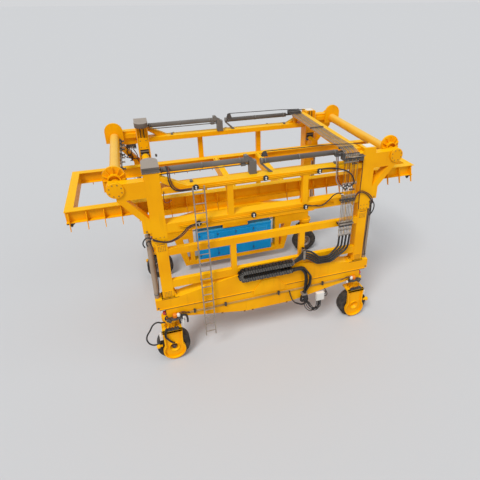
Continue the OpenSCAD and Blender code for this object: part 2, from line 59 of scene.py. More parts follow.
HOIST_Z, RIGHT_HOIST_Z, STAY_Z = 5256, 5206, 5151  # left and right hoist cylinder, left stay rod
LEFT_HOIST_OUT, RIGHT_HOIST_OUT = -93, -40
LINE_COUNT, LINE_X, LINE_PITCH, LINE_OUT = 9, 2060, 44, 230  # the lines of the hose column
# The energy chain: its links, how many in each run, the bend's radius and half a link's height
CHAIN_PITCH, CHAIN_LINKS, CHAIN_RADIUS, CHAIN_HALF = 92, 14, 110, 65
CHAIN_OPEN_X, CHAIN_Z, CHAIN_IN, CHAIN_OUT = 610, 2295, 150, 300
CHAIN_BEND_X = CHAIN_OPEN_X - CHAIN_LINKS * CHAIN_PITCH
PACK_HALF, PACK_IN, PACK_OUT, PACK_TOP = 1285, -144, 476, 1520  # the power pack's housing
DOOR_COUNT = 4
DOOR_WIDTH = (2 * PACK_HALF - 60) / DOOR_COUNT

SIDES = ((-1, "near"), (1, "far"))
ENDS = ((-1, "left"), (1, "right"))
X, Y, Z = Vector((1, 0, 0)), Vector((0, 1, 0)), Vector((0, 0, 1))


# Camera, from the fit of the machine's corners to the photograph

def add_camera():
    data = bpy.data.cameras.new("photo_camera")
    data.sensor_width, data.lens = 36, 31.29
    data.shift_x, data.shift_y = -0.0619, -0.0552
    data.clip_start, data.clip_end = 0.5, 600
    camera = bpy.data.objects.new("photo_camera", data)
    bpy.context.scene.collection.objects.link(camera)
    ahead = Vector((0.278, 0.837, -0.472)).normalized()
    right = ahead.cross(Z).normalized()
    up = right.cross(ahead)
    turn = Matrix((right, up, -ahead)).transposed().to_4x4()
    camera.matrix_world = Matrix.Translation(Vector((-2.780, -10.405, 8.654))) @ turn
    bpy.context.scene.camera = camera


# Materials

def linear(hex_colour):
    """An sRGB hex colour as the linear values that a shader takes."""
    channels = [int(hex_colour[i:i + 2], 16) / 255 for i in (1, 3, 5)]
    return [c / 12.92 if c <= 0.04045 else ((c + 0.055) / 1.055) ** 2.4 for c in channels] + [1]


def add_node(tree, kind, settings=None, links=None):
    """Adds a node, sets its inputs and properties, and links other nodes' sockets to its inputs."""
    node = tree.nodes.new(kind)
    for name, value in (settings or {}).items():
        if isinstance(name, int) or name in node.inputs:
            node.inputs[name].default_value = value
        else:
            setattr(node, name, value)
    for name, socket in (links or {}).items():
        tree.links.new(socket, node.inputs[name])
    return node


def new_material(name):
    material = bpy.data.materials.new(name)
    material.use_nodes = True
    material.node_tree.nodes.clear()
    return material, material.node_tree


def pattern(tree, size_mm, detail=3, stretch=(1, 1, 1), low=0.4, high=0.6):
    """A noise whose blotches are size_mm across, as a mask from 0 to 1 between low and high."""
    where = add_node(tree, "ShaderNodeTexCoord")
    placed = add_node(tree, "ShaderNodeMapping", {"Scale": stretch}, {"Vector": where.outputs["Object"]})
    noise = add_node(tree, "ShaderNodeTexNoise", {"Scale": 1000 / size_mm, "Detail": detail},
                     {"Vector": placed.outputs["Vector"]})
    return add_node(tree, "ShaderNodeMapRange", {"From Min": low, "From Max": high},
                    {"Value": noise.outputs["Fac"]}).outputs["Result"]


def mix(tree, mask, first, second, amount=1.0):
    """Goes from the first colour to the second where the mask is 1, by at most amount."""
    share = add_node(tree, "ShaderNodeMath", {"operation": "MULTIPLY", 1: amount}, {0: mask}).outputs[0]
    node = add_node(tree, "ShaderNodeMix", {"data_type": "RGBA"}, {0: share})
    for socket, value in ((6, first), (7, second)):
        if isinstance(value, str):
            node.inputs[socket].default_value = linear(value)
        else:
            tree.links.new(value, node.inputs[socket])
    return node.outputs[2]


def upward_light_and_dust_mask(tree, low=0.5, high=0.9):
    """A mask of the faces that look up, which take painted top light and some dust."""
    normal = add_node(tree, "ShaderNodeSeparateXYZ", links={
        "Vector": add_node(tree, "ShaderNodeNewGeometry").outputs["Normal"]}).outputs["Z"]
    return add_node(tree, "ShaderNodeMapRange", {"From Min": low, "From Max": high},
                    {"Value": normal}).outputs["Result"]


def finish_shader(tree, colour, roughness, bump_mm=0, bump_mask=None, **settings):
    """The closing shader of a material, with an even or a patterned colour and a bump of bump_mm."""
    shader = add_node(tree, "ShaderNodeBsdfPrincipled", {"Roughness": roughness, **settings})
    tree.links.new(colour, shader.inputs["Base Color"])
    if bump_mask is not None:
        bump = add_node(tree, "ShaderNodeBump", {"Strength": 0.6, "Distance": bump_mm * MM},
                        {"Height": bump_mask})
        tree.links.new(bump.outputs["Normal"], shader.inputs["Normal"])
    add_node(tree, "ShaderNodeOutputMaterial", links={"Surface": shader.outputs["BSDF"]})


def sprayed_enamel(name, base, deep, lit_top_and_dust, grime="#6B4A16", grime_amount=0.35, roughness=0.42):
    """Two-pack enamel sprayed on welded steel: satin, with painted top light and some dust on top, streaked
    with grime.
    """
    material, tree = new_material(name)
    # Broad drifts of tone, 900 mm across, from plate to plate and hand to hand
    colour = mix(tree, pattern(tree, 900, 2), base, deep, 0.55)
    # Faces that look up turn to the lighter colour: painted top light, with some dust
    colour = mix(tree, upward_light_and_dust_mask(tree), colour, lit_top_and_dust, 0.75)
    # Rain streaks, 90 mm wide and eight times as long
    streaks = pattern(tree, 90, 4, stretch=(1, 1, 0.12), low=0.58, high=0.85)
    colour = mix(tree, streaks, colour, grime, grime_amount * 0.5)
    # Scuffs and chips down to primer, drawn 25 mm across so that they show at all
    chips = pattern(tree, 25, 5, low=0.68, high=0.74)
    colour = mix(tree, chips, colour, "#7A4A1C", grime_amount)
    finish_shader(tree, colour, roughness, 1.2, pattern(tree, 140, 4, low=0.3, high=0.7),
                  **{"Specular IOR Level": 0.1, "Coat Weight": 0.03, "Coat Roughness": 0.25})
    return material


def cast_or_rolled_steel(name, base, dark, roughness=0.5, metallic=0.0, rust=0.25):
    """Painted or bare steel bar and plate with handling marks and a little rust bloom."""
    material, tree = new_material(name)
    colour = mix(tree, pattern(tree, 160, 4), base, dark, 0.6)
    colour = mix(tree, pattern(tree, 45, 5, low=0.6, high=0.75), colour, "#6A3C20", rust)
    finish_shader(tree, colour, roughness, 0.8, pattern(tree, 30, 3), Metallic=metallic)
    return material


def moulded_rubber(name, base, dusty, roughness=0.72, ribs_mm=0):
    """Vulcanised rubber: deep grey under dust, with a soft highlight. ribs_mm gives wrapped ribs."""
    material, tree = new_material(name)
    colour = mix(tree, pattern(tree, 120, 4), base, dusty, 0.6)
    mask = pattern(tree, 12, 3)
    if ribs_mm:
        where = add_node(tree, "ShaderNodeTexCoord")
        mask = add_node(tree, "ShaderNodeTexWave",
                        {"Scale": 1000 / ribs_mm / 6.28, "bands_direction": "DIAGONAL"},
                        {"Vector": where.outputs["Object"]}).outputs["Fac"]
    finish_shader(tree, colour, roughness, 2.5 if ribs_mm else 1.0, mask)
    return material


def ground_rod(name):
    """Hard chrome on a ground piston rod: mirror bright, with an oil film that dulls it in bands."""
    material, tree = new_material(name)
    colour = mix(tree, pattern(tree, 200, 3, stretch=(1, 1, 0.2)), "#D6D2CC", "#9D968D", 0.6)
    finish_shader(tree, colour, 0.22, 0.2, pattern(tree, 20, 2), Metallic=1.0)
    return material


def clear_red_dome(name):
    """Moulded acrylic of a tail lamp: saturated red with a hard gloss."""
    material, tree = new_material(name)
    colour = mix(tree, pattern(tree, 20, 2), "#C4161C", "#8E0F14", 0.5)
    finish_shader(tree, colour, 0.12, 0.3, pattern(tree, 8, 1), **{"Coat Weight": 0.6})
    return material


# The third colour of each enamel is painted top light, with some dust. Yellow on the welded frame: warm, and
# lemon on faces that look up
crane_yellow = sprayed_enamel("crane_yellow_enamel", "#F5AC00", "#E59400", "#FFC60A")
# The same coat on the cross tubes under settled dust: paler and browner
tube_yellow = sprayed_enamel("dusty_tube_yellow_enamel", "#F0AE22", "#DF9A18", "#F2C45C", "#8A6A3C")
# Clear blue of the power pack, paler on top with painted top light
pack_blue = sprayed_enamel("power_pack_blue_enamel", "#1597D8", "#0F82C2", "#4DB4E4", "#274B60", 0.25)
# Warm machine greys: mid grey cylinders, tan barrels with a shine of oil, darker caps with painted top light on
# top
cylinder_grey = sprayed_enamel("cylinder_grey_enamel", "#736E69", "#635C56", "#8F8983", "#3E3733", 0.4, 0.38)
barrel_grey = sprayed_enamel("lift_barrel_primer_grey", "#A38D78", "#8C7865", "#B8A690", "#54473C",
                             0.35, 0.26)
cap_grey = sprayed_enamel("sheave_cap_grey_enamel", "#6C625A", "#5C524A", "#ADA194", "#4A4440", 0.3, 0.5)
# Off-white of boxes and small canisters, which reads as the brightest spots
box_white = sprayed_enamel("junction_box_white_enamel", "#DAD6CF", "#C5C0B8", "#EDEAE4", "#8A8176",
                           0.25, 0.45)
# Pipes under dust, tan and dull, and the orange of the brake caps
pipe_tan = sprayed_enamel("dusty_pipe_enamel", "#B98F45", "#9C7637", "#D6B274", roughness=0.36)
motor_orange = sprayed_enamel("motor_orange_enamel", "#DB7A1C", "#C0600E", "#EE9638")
# Phosphate turns steel nearly black with a dry sheen, and zinc leaves a pale, dull grey
fitting_steel = cast_or_rolled_steel("phosphated_fitting_steel", "#4C4743", "#2F2B28")
galvanised = cast_or_rolled_steel("galvanised_tube_steel", "#A1968A", "#7F7367", 0.42, 0.35, 0.3)
bright_line = cast_or_rolled_steel("zinc_plated_line_steel", "#B8AC9C", "#857868", 0.3, 0.5, 0.2)
# Yellow chromate gives bolt heads a brassy glint, and paint over screws a flat brown
bolt_zinc = cast_or_rolled_steel("yellow_chromated_bolt_steel", "#A9813A", "#7A5824", 0.42, 0.4, 0.2)
screw_brown = cast_or_rolled_steel("painted_over_screw_steel", "#96621B", "#6E4611", 0.5, 0.0, 0.3)
# Wheel rims are dull grey with rust bloom, and greased rope is dark with a soft shine
wheel_grey = cast_or_rolled_steel("wheel_rim_painted_steel", "#8C8078", "#5A5049", 0.5, 0.0, 0.4)
rope_steel = cast_or_rolled_steel("greased_wire_rope_steel", "#3A3430", "#231E1B", 0.45, 0.4, 0.1)
rod_chrome = ground_rod("hard_chromed_rod_steel")
# Rolled nylon strip in the guide channels: cream, rubbed brown
wear_rail = cast_or_rolled_steel("wear_rail_nylon", "#E8CF9C", "#C9A66A", 0.45, 0.0, 0.15)
# Rubber and nylon: tread is brown with dust, hoses are black, sleeves show their wrapped ribs
tyre_rubber = moulded_rubber("tyre_tread_rubber", "#2A2521", "#4B433B", 0.8)
hose_rubber = moulded_rubber("hydraulic_hose_rubber", "#151211", "#2A2523", 0.4)
sleeve_rubber = moulded_rubber("corrugated_sleeve_rubber", "#171413", "#2F2A27", 0.42, ribs_mm=16)
red_hose = moulded_rubber("red_brown_hose_rubber", "#66301D", "#3F2217", 0.5)
chain_nylon = moulded_rubber("energy_chain_nylon", "#1B1918", "#322E2B", 0.42)
# Pale grey of the chain's ribs: painted highlights on the edges of the link plates
chain_highlight_grey = moulded_rubber("chain_rib_painted_highlight_grey", "#7D7870", "#9A948B", 0.55)
# Dark brown of the strips under the mast feet: painted shade of the gap there
gap_shade_brown = moulded_rubber("painted_gap_shade_strip", "#4A2A12", "#2C1A0E", 0.4)
lamp_red = clear_red_dome("tail_lamp_red_acrylic")

FINISH = {
    "yellow_paint": crane_yellow, "blue_paint": pack_blue, "grey_paint": cylinder_grey,
    "dark_steel": galvanised, "rod_steel": rod_chrome, "black_plastic": chain_nylon,
    "tyre_rubber": tyre_rubber,
}
OWN_FINISH = {
    "sheave_caps": cap_grey, "hoist_ropes": rope_steel, "lift_barrels": barrel_grey, "pack_lid": pack_blue,
    "near_left_rim": wheel_grey, "near_right_rim": wheel_grey, "far_left_rim": wheel_grey,
    "far_right_rim": wheel_grey, "twistlocks": fitting_steel, "cross_tubes": tube_yellow,
}
ROUND_NODES = ("tyre", "rim", "ropes")


def dress_cad_nodes():
    """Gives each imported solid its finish, and a 5 mm rolled edge where it is welded plate."""
    slots = {part["node"]: part["material_slot"] for part in frame["record"]["subparts"]}
    for name, node in frame["nodes"].items():
        node.data.materials.clear()
        node.data.materials.append(OWN_FINISH.get(name, FINISH[slots[name]]))
        if not any(word in name for word in ROUND_NODES):
            edge = node.modifiers.new("rolled_edge", "BEVEL")
            edge.width, edge.segments = 5 * MM, 2
            edge.limit_method, edge.angle_limit = "ANGLE", math.radians(50)
            edge.harden_normals = False


# Forms in mesh code

def at(side, x, out, z):
    """A point in metres from a side frame's own distances in mm. Side is -1 near and 1 far."""
    return Vector((x, side * (SIDE_PLANE + out), z)) * MM


def outwards(side):
    return Y * side


def frame_along(axis):
    """Two directions across an axis, and the axis itself, each one metre long."""
    axis = axis.normalized()
    first = axis.orthogonal().normalized()
    return first, axis.cross(first), axis


def lathe(form, centre, axis, profile, sides=24, hollow=False):
    """Turns a profile of (radius, distance along the axis) in mm. Its ends close or, if hollow, its loop."""
    first, second, along = frame_along(axis)
    angles = [2 * math.pi * i / sides for i in range(sides)]
    spokes = [first * math.cos(a) + second * math.sin(a) for a in angles]
    rings = [[form.verts.new(centre + along * reach * MM + spoke * radius * MM) for spoke in spokes]
             for radius, reach in profile]
    for low, high in zip(rings, rings[1:] + rings[:1] if hollow else rings[1:]):
        for i in range(sides):
            form.faces.new((low[i], low[(i + 1) % sides], high[(i + 1) % sides], high[i])).smooth = sides > 8
    if not hollow:
        form.faces.new(rings[0][::-1])
        form.faces.new(rings[-1])


def bar(form, start, end, radius, sides=12):
    lathe(form, start, end - start, [(radius, 0), (radius, (end - start).length / MM)], sides)


def block(form, low, high):
    """A box between two corners in metres."""
    low, high = [Vector(map(f, low, high)) for f in (min, max)]
    placed = Matrix.Translation((low + high) / 2) @ Matrix.Diagonal((*(high - low), 1))
    return bmesh.ops.create_cube(form, size=1, matrix=placed)["verts"]


def side_block(form, side, x0, x1, out0, out1, z0, z1):
    return block(form, at(side, x0, out0, z0), at(side, x1, out1, z1))


def bolt(form, seat, axis, size=14):
    """A hexagon bolt head on its washer: size is half the head's width over corners, in mm."""
    lathe(form, seat, axis, [(size * 1.5, 0), (size * 1.5, size * 0.25)], 16)
    lathe(form, seat + axis.normalized() * size * 0.25 * MM, axis,
          [(size, 0), (size, size * 0.75), (size * 0.85, size * 0.9)], 6)


def bolt_circle(form, centre, axis, radius, count, size=14):
    """Bolts on a circle of this radius in mm, with their heads towards the axis's end."""
    first, second, along = frame_along(axis)
    for i in range(count):
        a = 2 * math.pi * (i + 0.5) / count
        bolt(form, centre + (first * math.cos(a) + second * math.sin(a)) * radius * MM, along, size)


def torus(form, centre, axis, big, small, turns=36, sides=10):
    """A ring about an axis, with its own radius and that of its section in mm."""
    first, second, along = frame_along(axis)
    rings = []
    for i in range(turns):
        a = 2 * math.pi * i / turns
        out = first * math.cos(a) + second * math.sin(a)
        spots = [centre + out * (big + small * math.cos(b)) * MM + along * small * math.sin(b) * MM
                 for b in (2 * math.pi * k / sides for k in range(sides))]
        rings.append([form.verts.new(spot) for spot in spots])
    for i in range(turns):
        low, high = rings[i], rings[(i + 1) % turns]
        for k in range(sides):
            form.faces.new((low[k], high[k], high[(k + 1) % sides], low[(k + 1) % sides])).smooth = True


def piece(name, body, finish, draw, edge_mm=0):
    """Makes a piece from draw(form), gives it its finish and lets it ride on a body."""
    form = bmesh.new()
    draw(form)
    bmesh.ops.recalc_face_normals(form, faces=form.faces)
    mesh = bpy.data.meshes.new(name)
    form.to_mesh(mesh)
    form.free()
    mesh.materials.append(finish)
    made = bpy.data.objects.new(name, mesh)
    bpy.context.scene.collection.objects.link(made)
    if edge_mm:
        edge = made.modifiers.new("rolled_edge", "BEVEL")
        edge.width, edge.segments, edge.limit_method = edge_mm * MM, 2, "ANGLE"
    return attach(made, body)


def hose(name, body, finish, points, radius):
    """A hose or pipe of this radius in mm on one smooth curve through points in metres."""
    curve = bpy.data.curves.new(name, "CURVE")
    curve.dimensions, curve.bevel_depth, curve.bevel_resolution, curve.resolution_u = "3D", radius * MM, 3, 6
    curve.use_fill_caps = True
    spline = curve.splines.new("BEZIER")
    spline.bezier_points.add(len(points) - 1)
    for knot, point in zip(spline.bezier_points, points):
        knot.co, knot.handle_left_type, knot.handle_right_type = point, "AUTO", "AUTO"
    curve.materials.append(finish)
    made = bpy.data.objects.new(name, curve)
    bpy.context.scene.collection.objects.link(made)
    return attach(made, body)


# Hoses of the near side

def line_x(i):
    """X of one of the lines of the hose column, counted from the left."""
    return LINE_X + LINE_PITCH * (i - LINE_COUNT // 2)


def rounded_path(path, radius, steps=6):
    """The corners of a flat path in X and Z rounded to a radius, as in the solids."""
    points = [Vector(path[0])]
    for before, corner, after in zip(path, path[1:], path[2:]):
        before, corner, after = Vector(before), Vector(corner), Vector(after)
        into, out = (corner - before).normalized(), (after - corner).normalized()
        turn = into.angle_signed(out) * -1
        cut = radius * math.tan(abs(turn) / 2)
        sign = 1 if turn > 0 else -1
        middle = corner - into * cut + Vector((-into.y, into.x)) * radius * sign
        start = math.atan2(into.y, into.x)
        for k in range(steps + 1):
            a = start + turn * k / steps
            points.append(middle - Vector((-math.sin(a), math.cos(a))) * radius * sign)
    points.append(Vector(path[-1]))
    return points


def held_hoses():
    """The sleeved hoses and lines of the near side, from the bridge to the near wheel beam."""
    column_x, clamp_x, clamp_z = LINE_X, 927, 2585
    for i in range(4):
        k = i - 1.5
        route = [(column_x + 100 * k, 2962), (column_x - 20 + 95 * k, 2600 - 40 * k),
                 (column_x - 370 + 30 * k, 2305 - 62 * k),
                 (column_x - 700 - 14 * k, 2316 - 62 * k), (clamp_x, clamp_z - 68 * k)]
        points = [at(-1, p.x, 230, p.y) for p in rounded_path(route, 210 + 28 * k)]
        points += [at(-1, 860, 230, 2540 - 50 * k), at(-1, 760, 228, 2472 - 30 * k),
                   at(-1, 655, 226, 2405 - 18 * k)]
        hose(f"sleeved_hose_{i + 1}", "portal", sleeve_rubber, points, 27)
    for i, out in enumerate((199, 251)):
        route = [(310, 2185), (935, 2185), (1155, 1855), (1135, 1585), (975, 1310), (985, 1150)]
        hose(f"lower_hose_{i + 1}", "near_beam", sleeve_rubber,
                     [at(-1, p.x, out, p.y) for p in rounded_path(route, 170)], 25)
        for k, shift in enumerate((0, 55)):
            route = [(985 + shift, 1200), (1010 + shift, 1010), (1140 + shift * 0.6, 900),
                     (1290 + shift * 0.3, 600 + shift),
                     (1440 + shift, 640 + shift), (1440 + shift, 932)]
            hose(f"box_hose_{i + 1}_{k + 1}", "near_beam", hose_rubber,
                 [at(-1, p.x, out - 12, p.y) for p in rounded_path(route, 90)], 12)
    for i, out in enumerate((184, 225, 266)):
        path = ((330, out, 2150), (600, out, 2150), (880 - 20 * i, out, 2148), (1000 - 30 * i, out, 2030),
                (1060 - 40 * i, out, 1840),
                (1070 - 50 * i, out, 1600), (1010 - 20 * i, out, 1400), (950 + 30 * i, out - 4, 1290),
                (940 + 40 * i, out - 10, 1120))
        hose(f"lower_side_hose_{i + 1}", "near_beam", hose_rubber, [at(-1, *p) for p in path], 19)
    for i, (out, width, drop) in enumerate(((186, 70, 1040), (214, 84, 1010), (242, 66, 1056))):
        path = ((945 + 12 * i, out, 1240), (980 - width, out, 1150), (985 - width, out, drop + 40),
                (985, out, drop), (985 + width, out, drop + 46), (980 + width, out, 1160),
                (1015 - 10 * i, out, 1240))
        hose(f"spare_hose_loop_{i + 1}", "near_beam", hose_rubber, [at(-1, *p) for p in path], 19)
    for i, x in enumerate((1395, 1450, 1500)):
        path = ((x, 190, 932), (x + 4, 192, 820), (x - 40, 196, 660 + 26 * i), (x - 150, 200, 590 + 30 * i),
                (x - 290, 204, 690 + 20 * i), (x - 380, 208, 880), (1030, 210, 1080))
        hose(f"box_tail_hose_{i + 1}", "near_beam", hose_rubber, [at(-1, *p) for p in path], 11)
    side_loop = ((1600, 170, 1170), (1650, 172, 1165), (1672, 168, 1110), (1650, 155, 1050),
                 (1640, 140, 1040))
    hose("box_side_hose", "near_beam", hose_rubber, [at(-1, *p) for p in side_loop], 10)
    piece("lower_hose_clamp", "near_beam", galvanised, lambda form: (
        side_block(form, -1, 905, 1055, 144, 282, 1265, 1325),
        bolt(form, at(-1, 925, 282, 1295), outwards(-1), 10),
        bolt(form, at(-1, 1035, 282, 1295), outwards(-1), 10)), 2)
    for i in range(LINE_COUNT):
        x = line_x(i) * MM
        over = [Vector((x, y, 5.276)) for y in (1.66, 0.5, -0.7, -1.90)]
        over += [Vector((x, -2.036, 5.232)), Vector((x, -2.08, 5.12)), Vector((x, -2.08, 5.0))]
        hose(f"bridge_line_{i + 1}", "upper_frame", (galvanised, bright_line, pipe_tan)[i % 3], over, 10)
        hose(f"column_line_{i + 1}", "upper_frame", (screw_brown, crane_yellow, pipe_tan)[i % 3],
             [Vector((x, -2.08, z)) for z in (5.0, 4.6, 4.12)], 8)
        hose(f"tail_line_{i + 1}", "upper_frame", (bright_line, galvanised, bright_line, pipe_tan)[i % 4],
             [Vector((x, -2.08, z)) for z in (4.12, 3.55, 2.965)], 11)


# Finer forms that stand for plainer solids, on the same seats

def slab(form, side, loops, out0, out1):
    """A plate between two distances out, from its outline in X and Z and the outlines of its openings."""
    levels = ([], [])
    for loop in loops:
        rows = [[form.verts.new(at(side, x, out, z)) for x, z in loop] for out in (out0, out1)]
        turns = list(zip(range(len(loop)), list(range(1, len(loop))) + [0]))
        for edges, row in zip(levels, rows):
            edges += [form.edges.new((row[i], row[k])) for i, k in turns]
        for i, k in turns:
            form.faces.new((rows[0][i], rows[0][k], rows[1][k], rows[1][i]))
    for edges in levels:
        bmesh.ops.triangle_fill(form, use_beauty=True, edges=edges)


def arc(x, z, radius, first, last, steps=40):
    """Points on a circle in X and Z between two angles in radians."""
    angles = [first + (last - first) * i / steps for i in range(steps + 1)]
    return [(x + radius * math.cos(a), z + radius * math.sin(a)) for a in angles]


def circle(x, z, radius, steps=40):
    """Points on a whole circle, without the first one twice."""
    return arc(x, z, radius, 0, 2 * math.pi * (steps - 1) / steps, steps - 1)


def ends(points, end):
    """Points in X and Z, drawn for the right end, at the left end (-1) or the right one (1)."""
    return [(end * x, z) for x, z in points]


def beam_and_arms(side, name):
    """A slim top beam with its haunch braces, and the braced arms that carry the cross tubes."""
    def top_beam(form):
        side_block(form, side, -SLEEVE_IN, SLEEVE_IN, -BEAM_FACE, BEAM_FACE, BEAM_LOW, BEAM_TOP)
        haunch = [(SLEEVE_IN, 5201), (1879, BEAM_TOP - 2), (2180, BEAM_TOP - 2), (SLEEVE_IN, 5079)]
        for end in (-1, 1):
            slab(form, side, [ends(haunch, end)], -5, BEAM_FACE)
    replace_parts(piece(f"{name}_slim_top_beam", "upper_frame", crane_yellow, top_beam, 4), f"{name}_top_beam")

    def arms(form):
        for end in (-1, 1):
            tip = arc(TUBE_X, DISC_Z, 185, math.acos(0) - 0.69, -math.pi / 2 + 0.08, 24)
            foot = [(3355, ARM_LOW), (2930, 4220), (2930, 3890), (SLEEVE_OUT, 3890)]
            outline = [(SLEEVE_OUT, 5136), (TUBE_X, 5136)] + tip + foot
            window = [(SLEEVE_OUT + 1, ARM_LOW), (3170, ARM_LOW), (SLEEVE_OUT + 1, 4231)]
            slab(form, side, [ends(outline, end), ends(window, end)], -67, ARM_FACE)
    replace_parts(piece(f"{name}_braced_arms", "upper_frame", crane_yellow, arms, 4), f"{name}_arms")


def hoist_forms(side, name):
    """Sheave cap, hoist cylinders, their seats, the posts under them and the end discs."""
    def sheave_cap(form):
        lathe(form, at(side, -LEG_X, -298, CAP_LOW), Z, [(180, 0), (180, 124), (174, 130)], 48)
        side_block(form, side, -LEG_X - 180, -LEG_X + 180, -298, ARM_FACE, CAP_LOW, CAP_TOP)
        side_block(form, side, -LEG_X - 188, -LEG_X + 188, -298, ARM_FACE + 8, CAP_LOW, CAP_LOW + 20)
    caps = piece(f"{name}_low_sheave_cap", "upper_frame", cap_grey, sheave_cap, 3)

    def hoist_pair(form):
        lathe(form, at(side, -SLEEVE_IN, LEFT_HOIST_OUT, HOIST_Z), X,
              [(30, 0), (30, 40), (62.5, 40), (62.5, 1940), (74.5, 1940), (74.5, 1990)], 40)
        bar(form, at(side, -2410, LEFT_HOIST_OUT, STAY_Z), at(side, -590, LEFT_HOIST_OUT, STAY_Z), 12)
        side_block(form, side, -600, -490, -117, -69, STAY_Z - 30, STAY_Z + 30)
        bar(form, at(side, -495, LEFT_HOIST_OUT, STAY_Z), at(side, -415, LEFT_HOIST_OUT, STAY_Z), 18)
        lathe(form, at(side, -150, RIGHT_HOIST_OUT, RIGHT_HOIST_Z), X,
              [(74.5, 0), (74.5, 50), (62.5, 50), (62.5, 1950), (30, 1950), (30, 2177)], 40)
    pair = piece(f"{name}_hoist_pair", "upper_frame", cylinder_grey, hoist_pair)

    def seat_blocks(form):
        side_block(form, side, -415, -245, -168, -18, BEAM_TOP, 5236)
        slab(form, side, [[(-150, 5140), (-95, 5140), (150, 4914), (60, 4914)]], -75, -5)
        for end in (-1, 1):
            side_block(form, side, end * 1727, end * 1787, -80, 0, BEAM_TOP - 2, 4966)
    seats = piece(f"{name}_cylinder_seats", "upper_frame", cylinder_grey, seat_blocks, 4)

    def long_posts(form):
        for end in (-1, 1):
            side_block(form, side, end * 855, end * 995, 25, BEAM_FACE, 4048, BEAM_LOW + 2)
    posts = piece(f"{name}_long_posts", "upper_frame", crane_yellow, long_posts, 4)

    def disc_plates(form):
        for end in (-1, 1):
            centre = at(side, end * TUBE_X, ARM_FACE - 2, DISC_Z)
            lathe(form, centre, outwards(side), [(175, 0), (175, 36), (168, 42)], 56)
    discs = piece(f"{name}_round_end_discs", "upper_frame", crane_yellow, disc_plates)
    if side < 0:  # each of these nodes holds both sides, so one piece of a pair hides it
        for made, node in ((caps, "sheave_caps"), (pair, "hoist_cylinders"), (seats, "pedestals"),
                           (posts, "upper_posts"), (discs, "end_discs")):
            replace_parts(made, node)


def collars_lip_and_feet(side, name):
    """Ribbed collars round the cross tubes, the sill's lip, and the feet of masts and lift cylinders."""
    def hanger_ribs(form):
        plate, rise = 229, 57  # the hanger plate's radius, and how far its centre is above the tube
        for end in (-1, 1):
            x = end * TUBE_X
            slab(form, side, [circle(x, TUBE_Z, 142), circle(x, TUBE_Z, 117)], -153, -66)
            for i in range(7):
                a = math.pi * i / 6
                reach = math.sqrt(plate ** 2 - (rise * math.cos(a)) ** 2) + rise * math.sin(a)
                along, across = (math.cos(a), math.sin(a)), (-math.sin(a) * 7, math.cos(a) * 7)
                corners = [(x + along[0] * r + across[0] * w, TUBE_Z + along[1] * r + across[1] * w)
                           for r, w in ((135, -1), (reach, -1), (reach, 1), (135, 1))]
                slab(form, side, [corners], -153, -103)
    piece(f"{name}_hanger_collars", "upper_frame", crane_yellow, hanger_ribs)

    def lip(form):
        side_block(form, side, -2860, 2860, -164, 164, 1685, 1703)
    piece(f"{name}_sill_lip", "portal", crane_yellow, lip, 3)

    def feet(form):
        for end in (-1, 1):
            side_block(form, side, end * 2335, end * 2747, -147, 147, SILL_TOP + 0.2, 2005)
            gusset = ends([(2385, 2004), (2456, 2004), (2456, 2159), (2440, 2159)], end)
            for out in (-105, 85):
                slab(form, side, [gusset], out, out + 20)
            base = at(side, end * LIFT_X, 0, 2022)
            for dy in (-40, 40):
                low, high = Vector((-0.036, (dy - 10) * MM, -0.042)), Vector((0.036, (dy + 10) * MM, 0.024))
                block(form, base + low, base + high)
            bar(form, base - Y * 0.058, base + Y * 0.058, 17)
    piece(f"{name}_mast_feet", "portal", crane_yellow, feet, 2)


def bridge_and_clamps():
    """The hose bridge, the combs and clamps of its lines, and the junction box."""
    def bridge(form):
        block(form, Vector((2.027, -1.84, 5.13)), Vector((2.427, 1.84, 5.25)))
        for side in (-1, 1):
            for x in (2047, 2332):
                side_block(form, side, x, x + 65, -130, -30, 4914, 5132)
    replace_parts(piece("raised_hose_bridge", "upper_frame", crane_yellow, bridge, 4), "hose_bridge")

    def combs(form):
        for y in (-1.75, 0.0, 1.62):
            block(form, Vector((1.86, y - 0.02, 5.25)), Vector((2.26, y + 0.02, 5.3)))
        block(form, Vector((1.86, 1.66, 5.25)), Vector((2.26, 1.82, 5.325)))
        for z in (5050, 3970):
            side_block(form, -1, 1860, 2260, 140, 250, z, z + 40)
    piece("hose_line_combs", "upper_frame", fitting_steel, combs, 3)

    def rail_combs(form):
        for low, high in ((110, 208), (252, 268)):
            side_block(form, -1, 1849, 2271, low, high, 3300, 3340)
        for x in (1849, 2256):
            side_block(form, -1, x, x + 15, 110, 268, 3300, 3340)
        for z0, z1 in ((2436, 2451), (2726, 2746)):
            side_block(form, -1, 895, 955, 110, 268, z0, z1)
        side_block(form, -1, 895, 955, 258, 268, 2436, 2746)
        side_block(form, -1, 895, 955, 110, 202, 2436, 2746)
        side_block(form, -1, 619, 640, 110, 280, 2355, 2465)
    piece("rail_hose_clamps", "portal", galvanised, rail_combs, 2)

    def box(form):
        side_block(form, -1, 1366, 1605, 144, 236, 930, 1184)
        side_block(form, -1, 1378, 1593, 236, 244, 943, 1171)
    piece("valve_junction_box", "near_beam", box_white, box, 5)


def upper_forms():
    for side, name in SIDES:
        beam_and_arms(side, name)
        hoist_forms(side, name)
        collars_lip_and_feet(side, name)
    bridge_and_clamps()


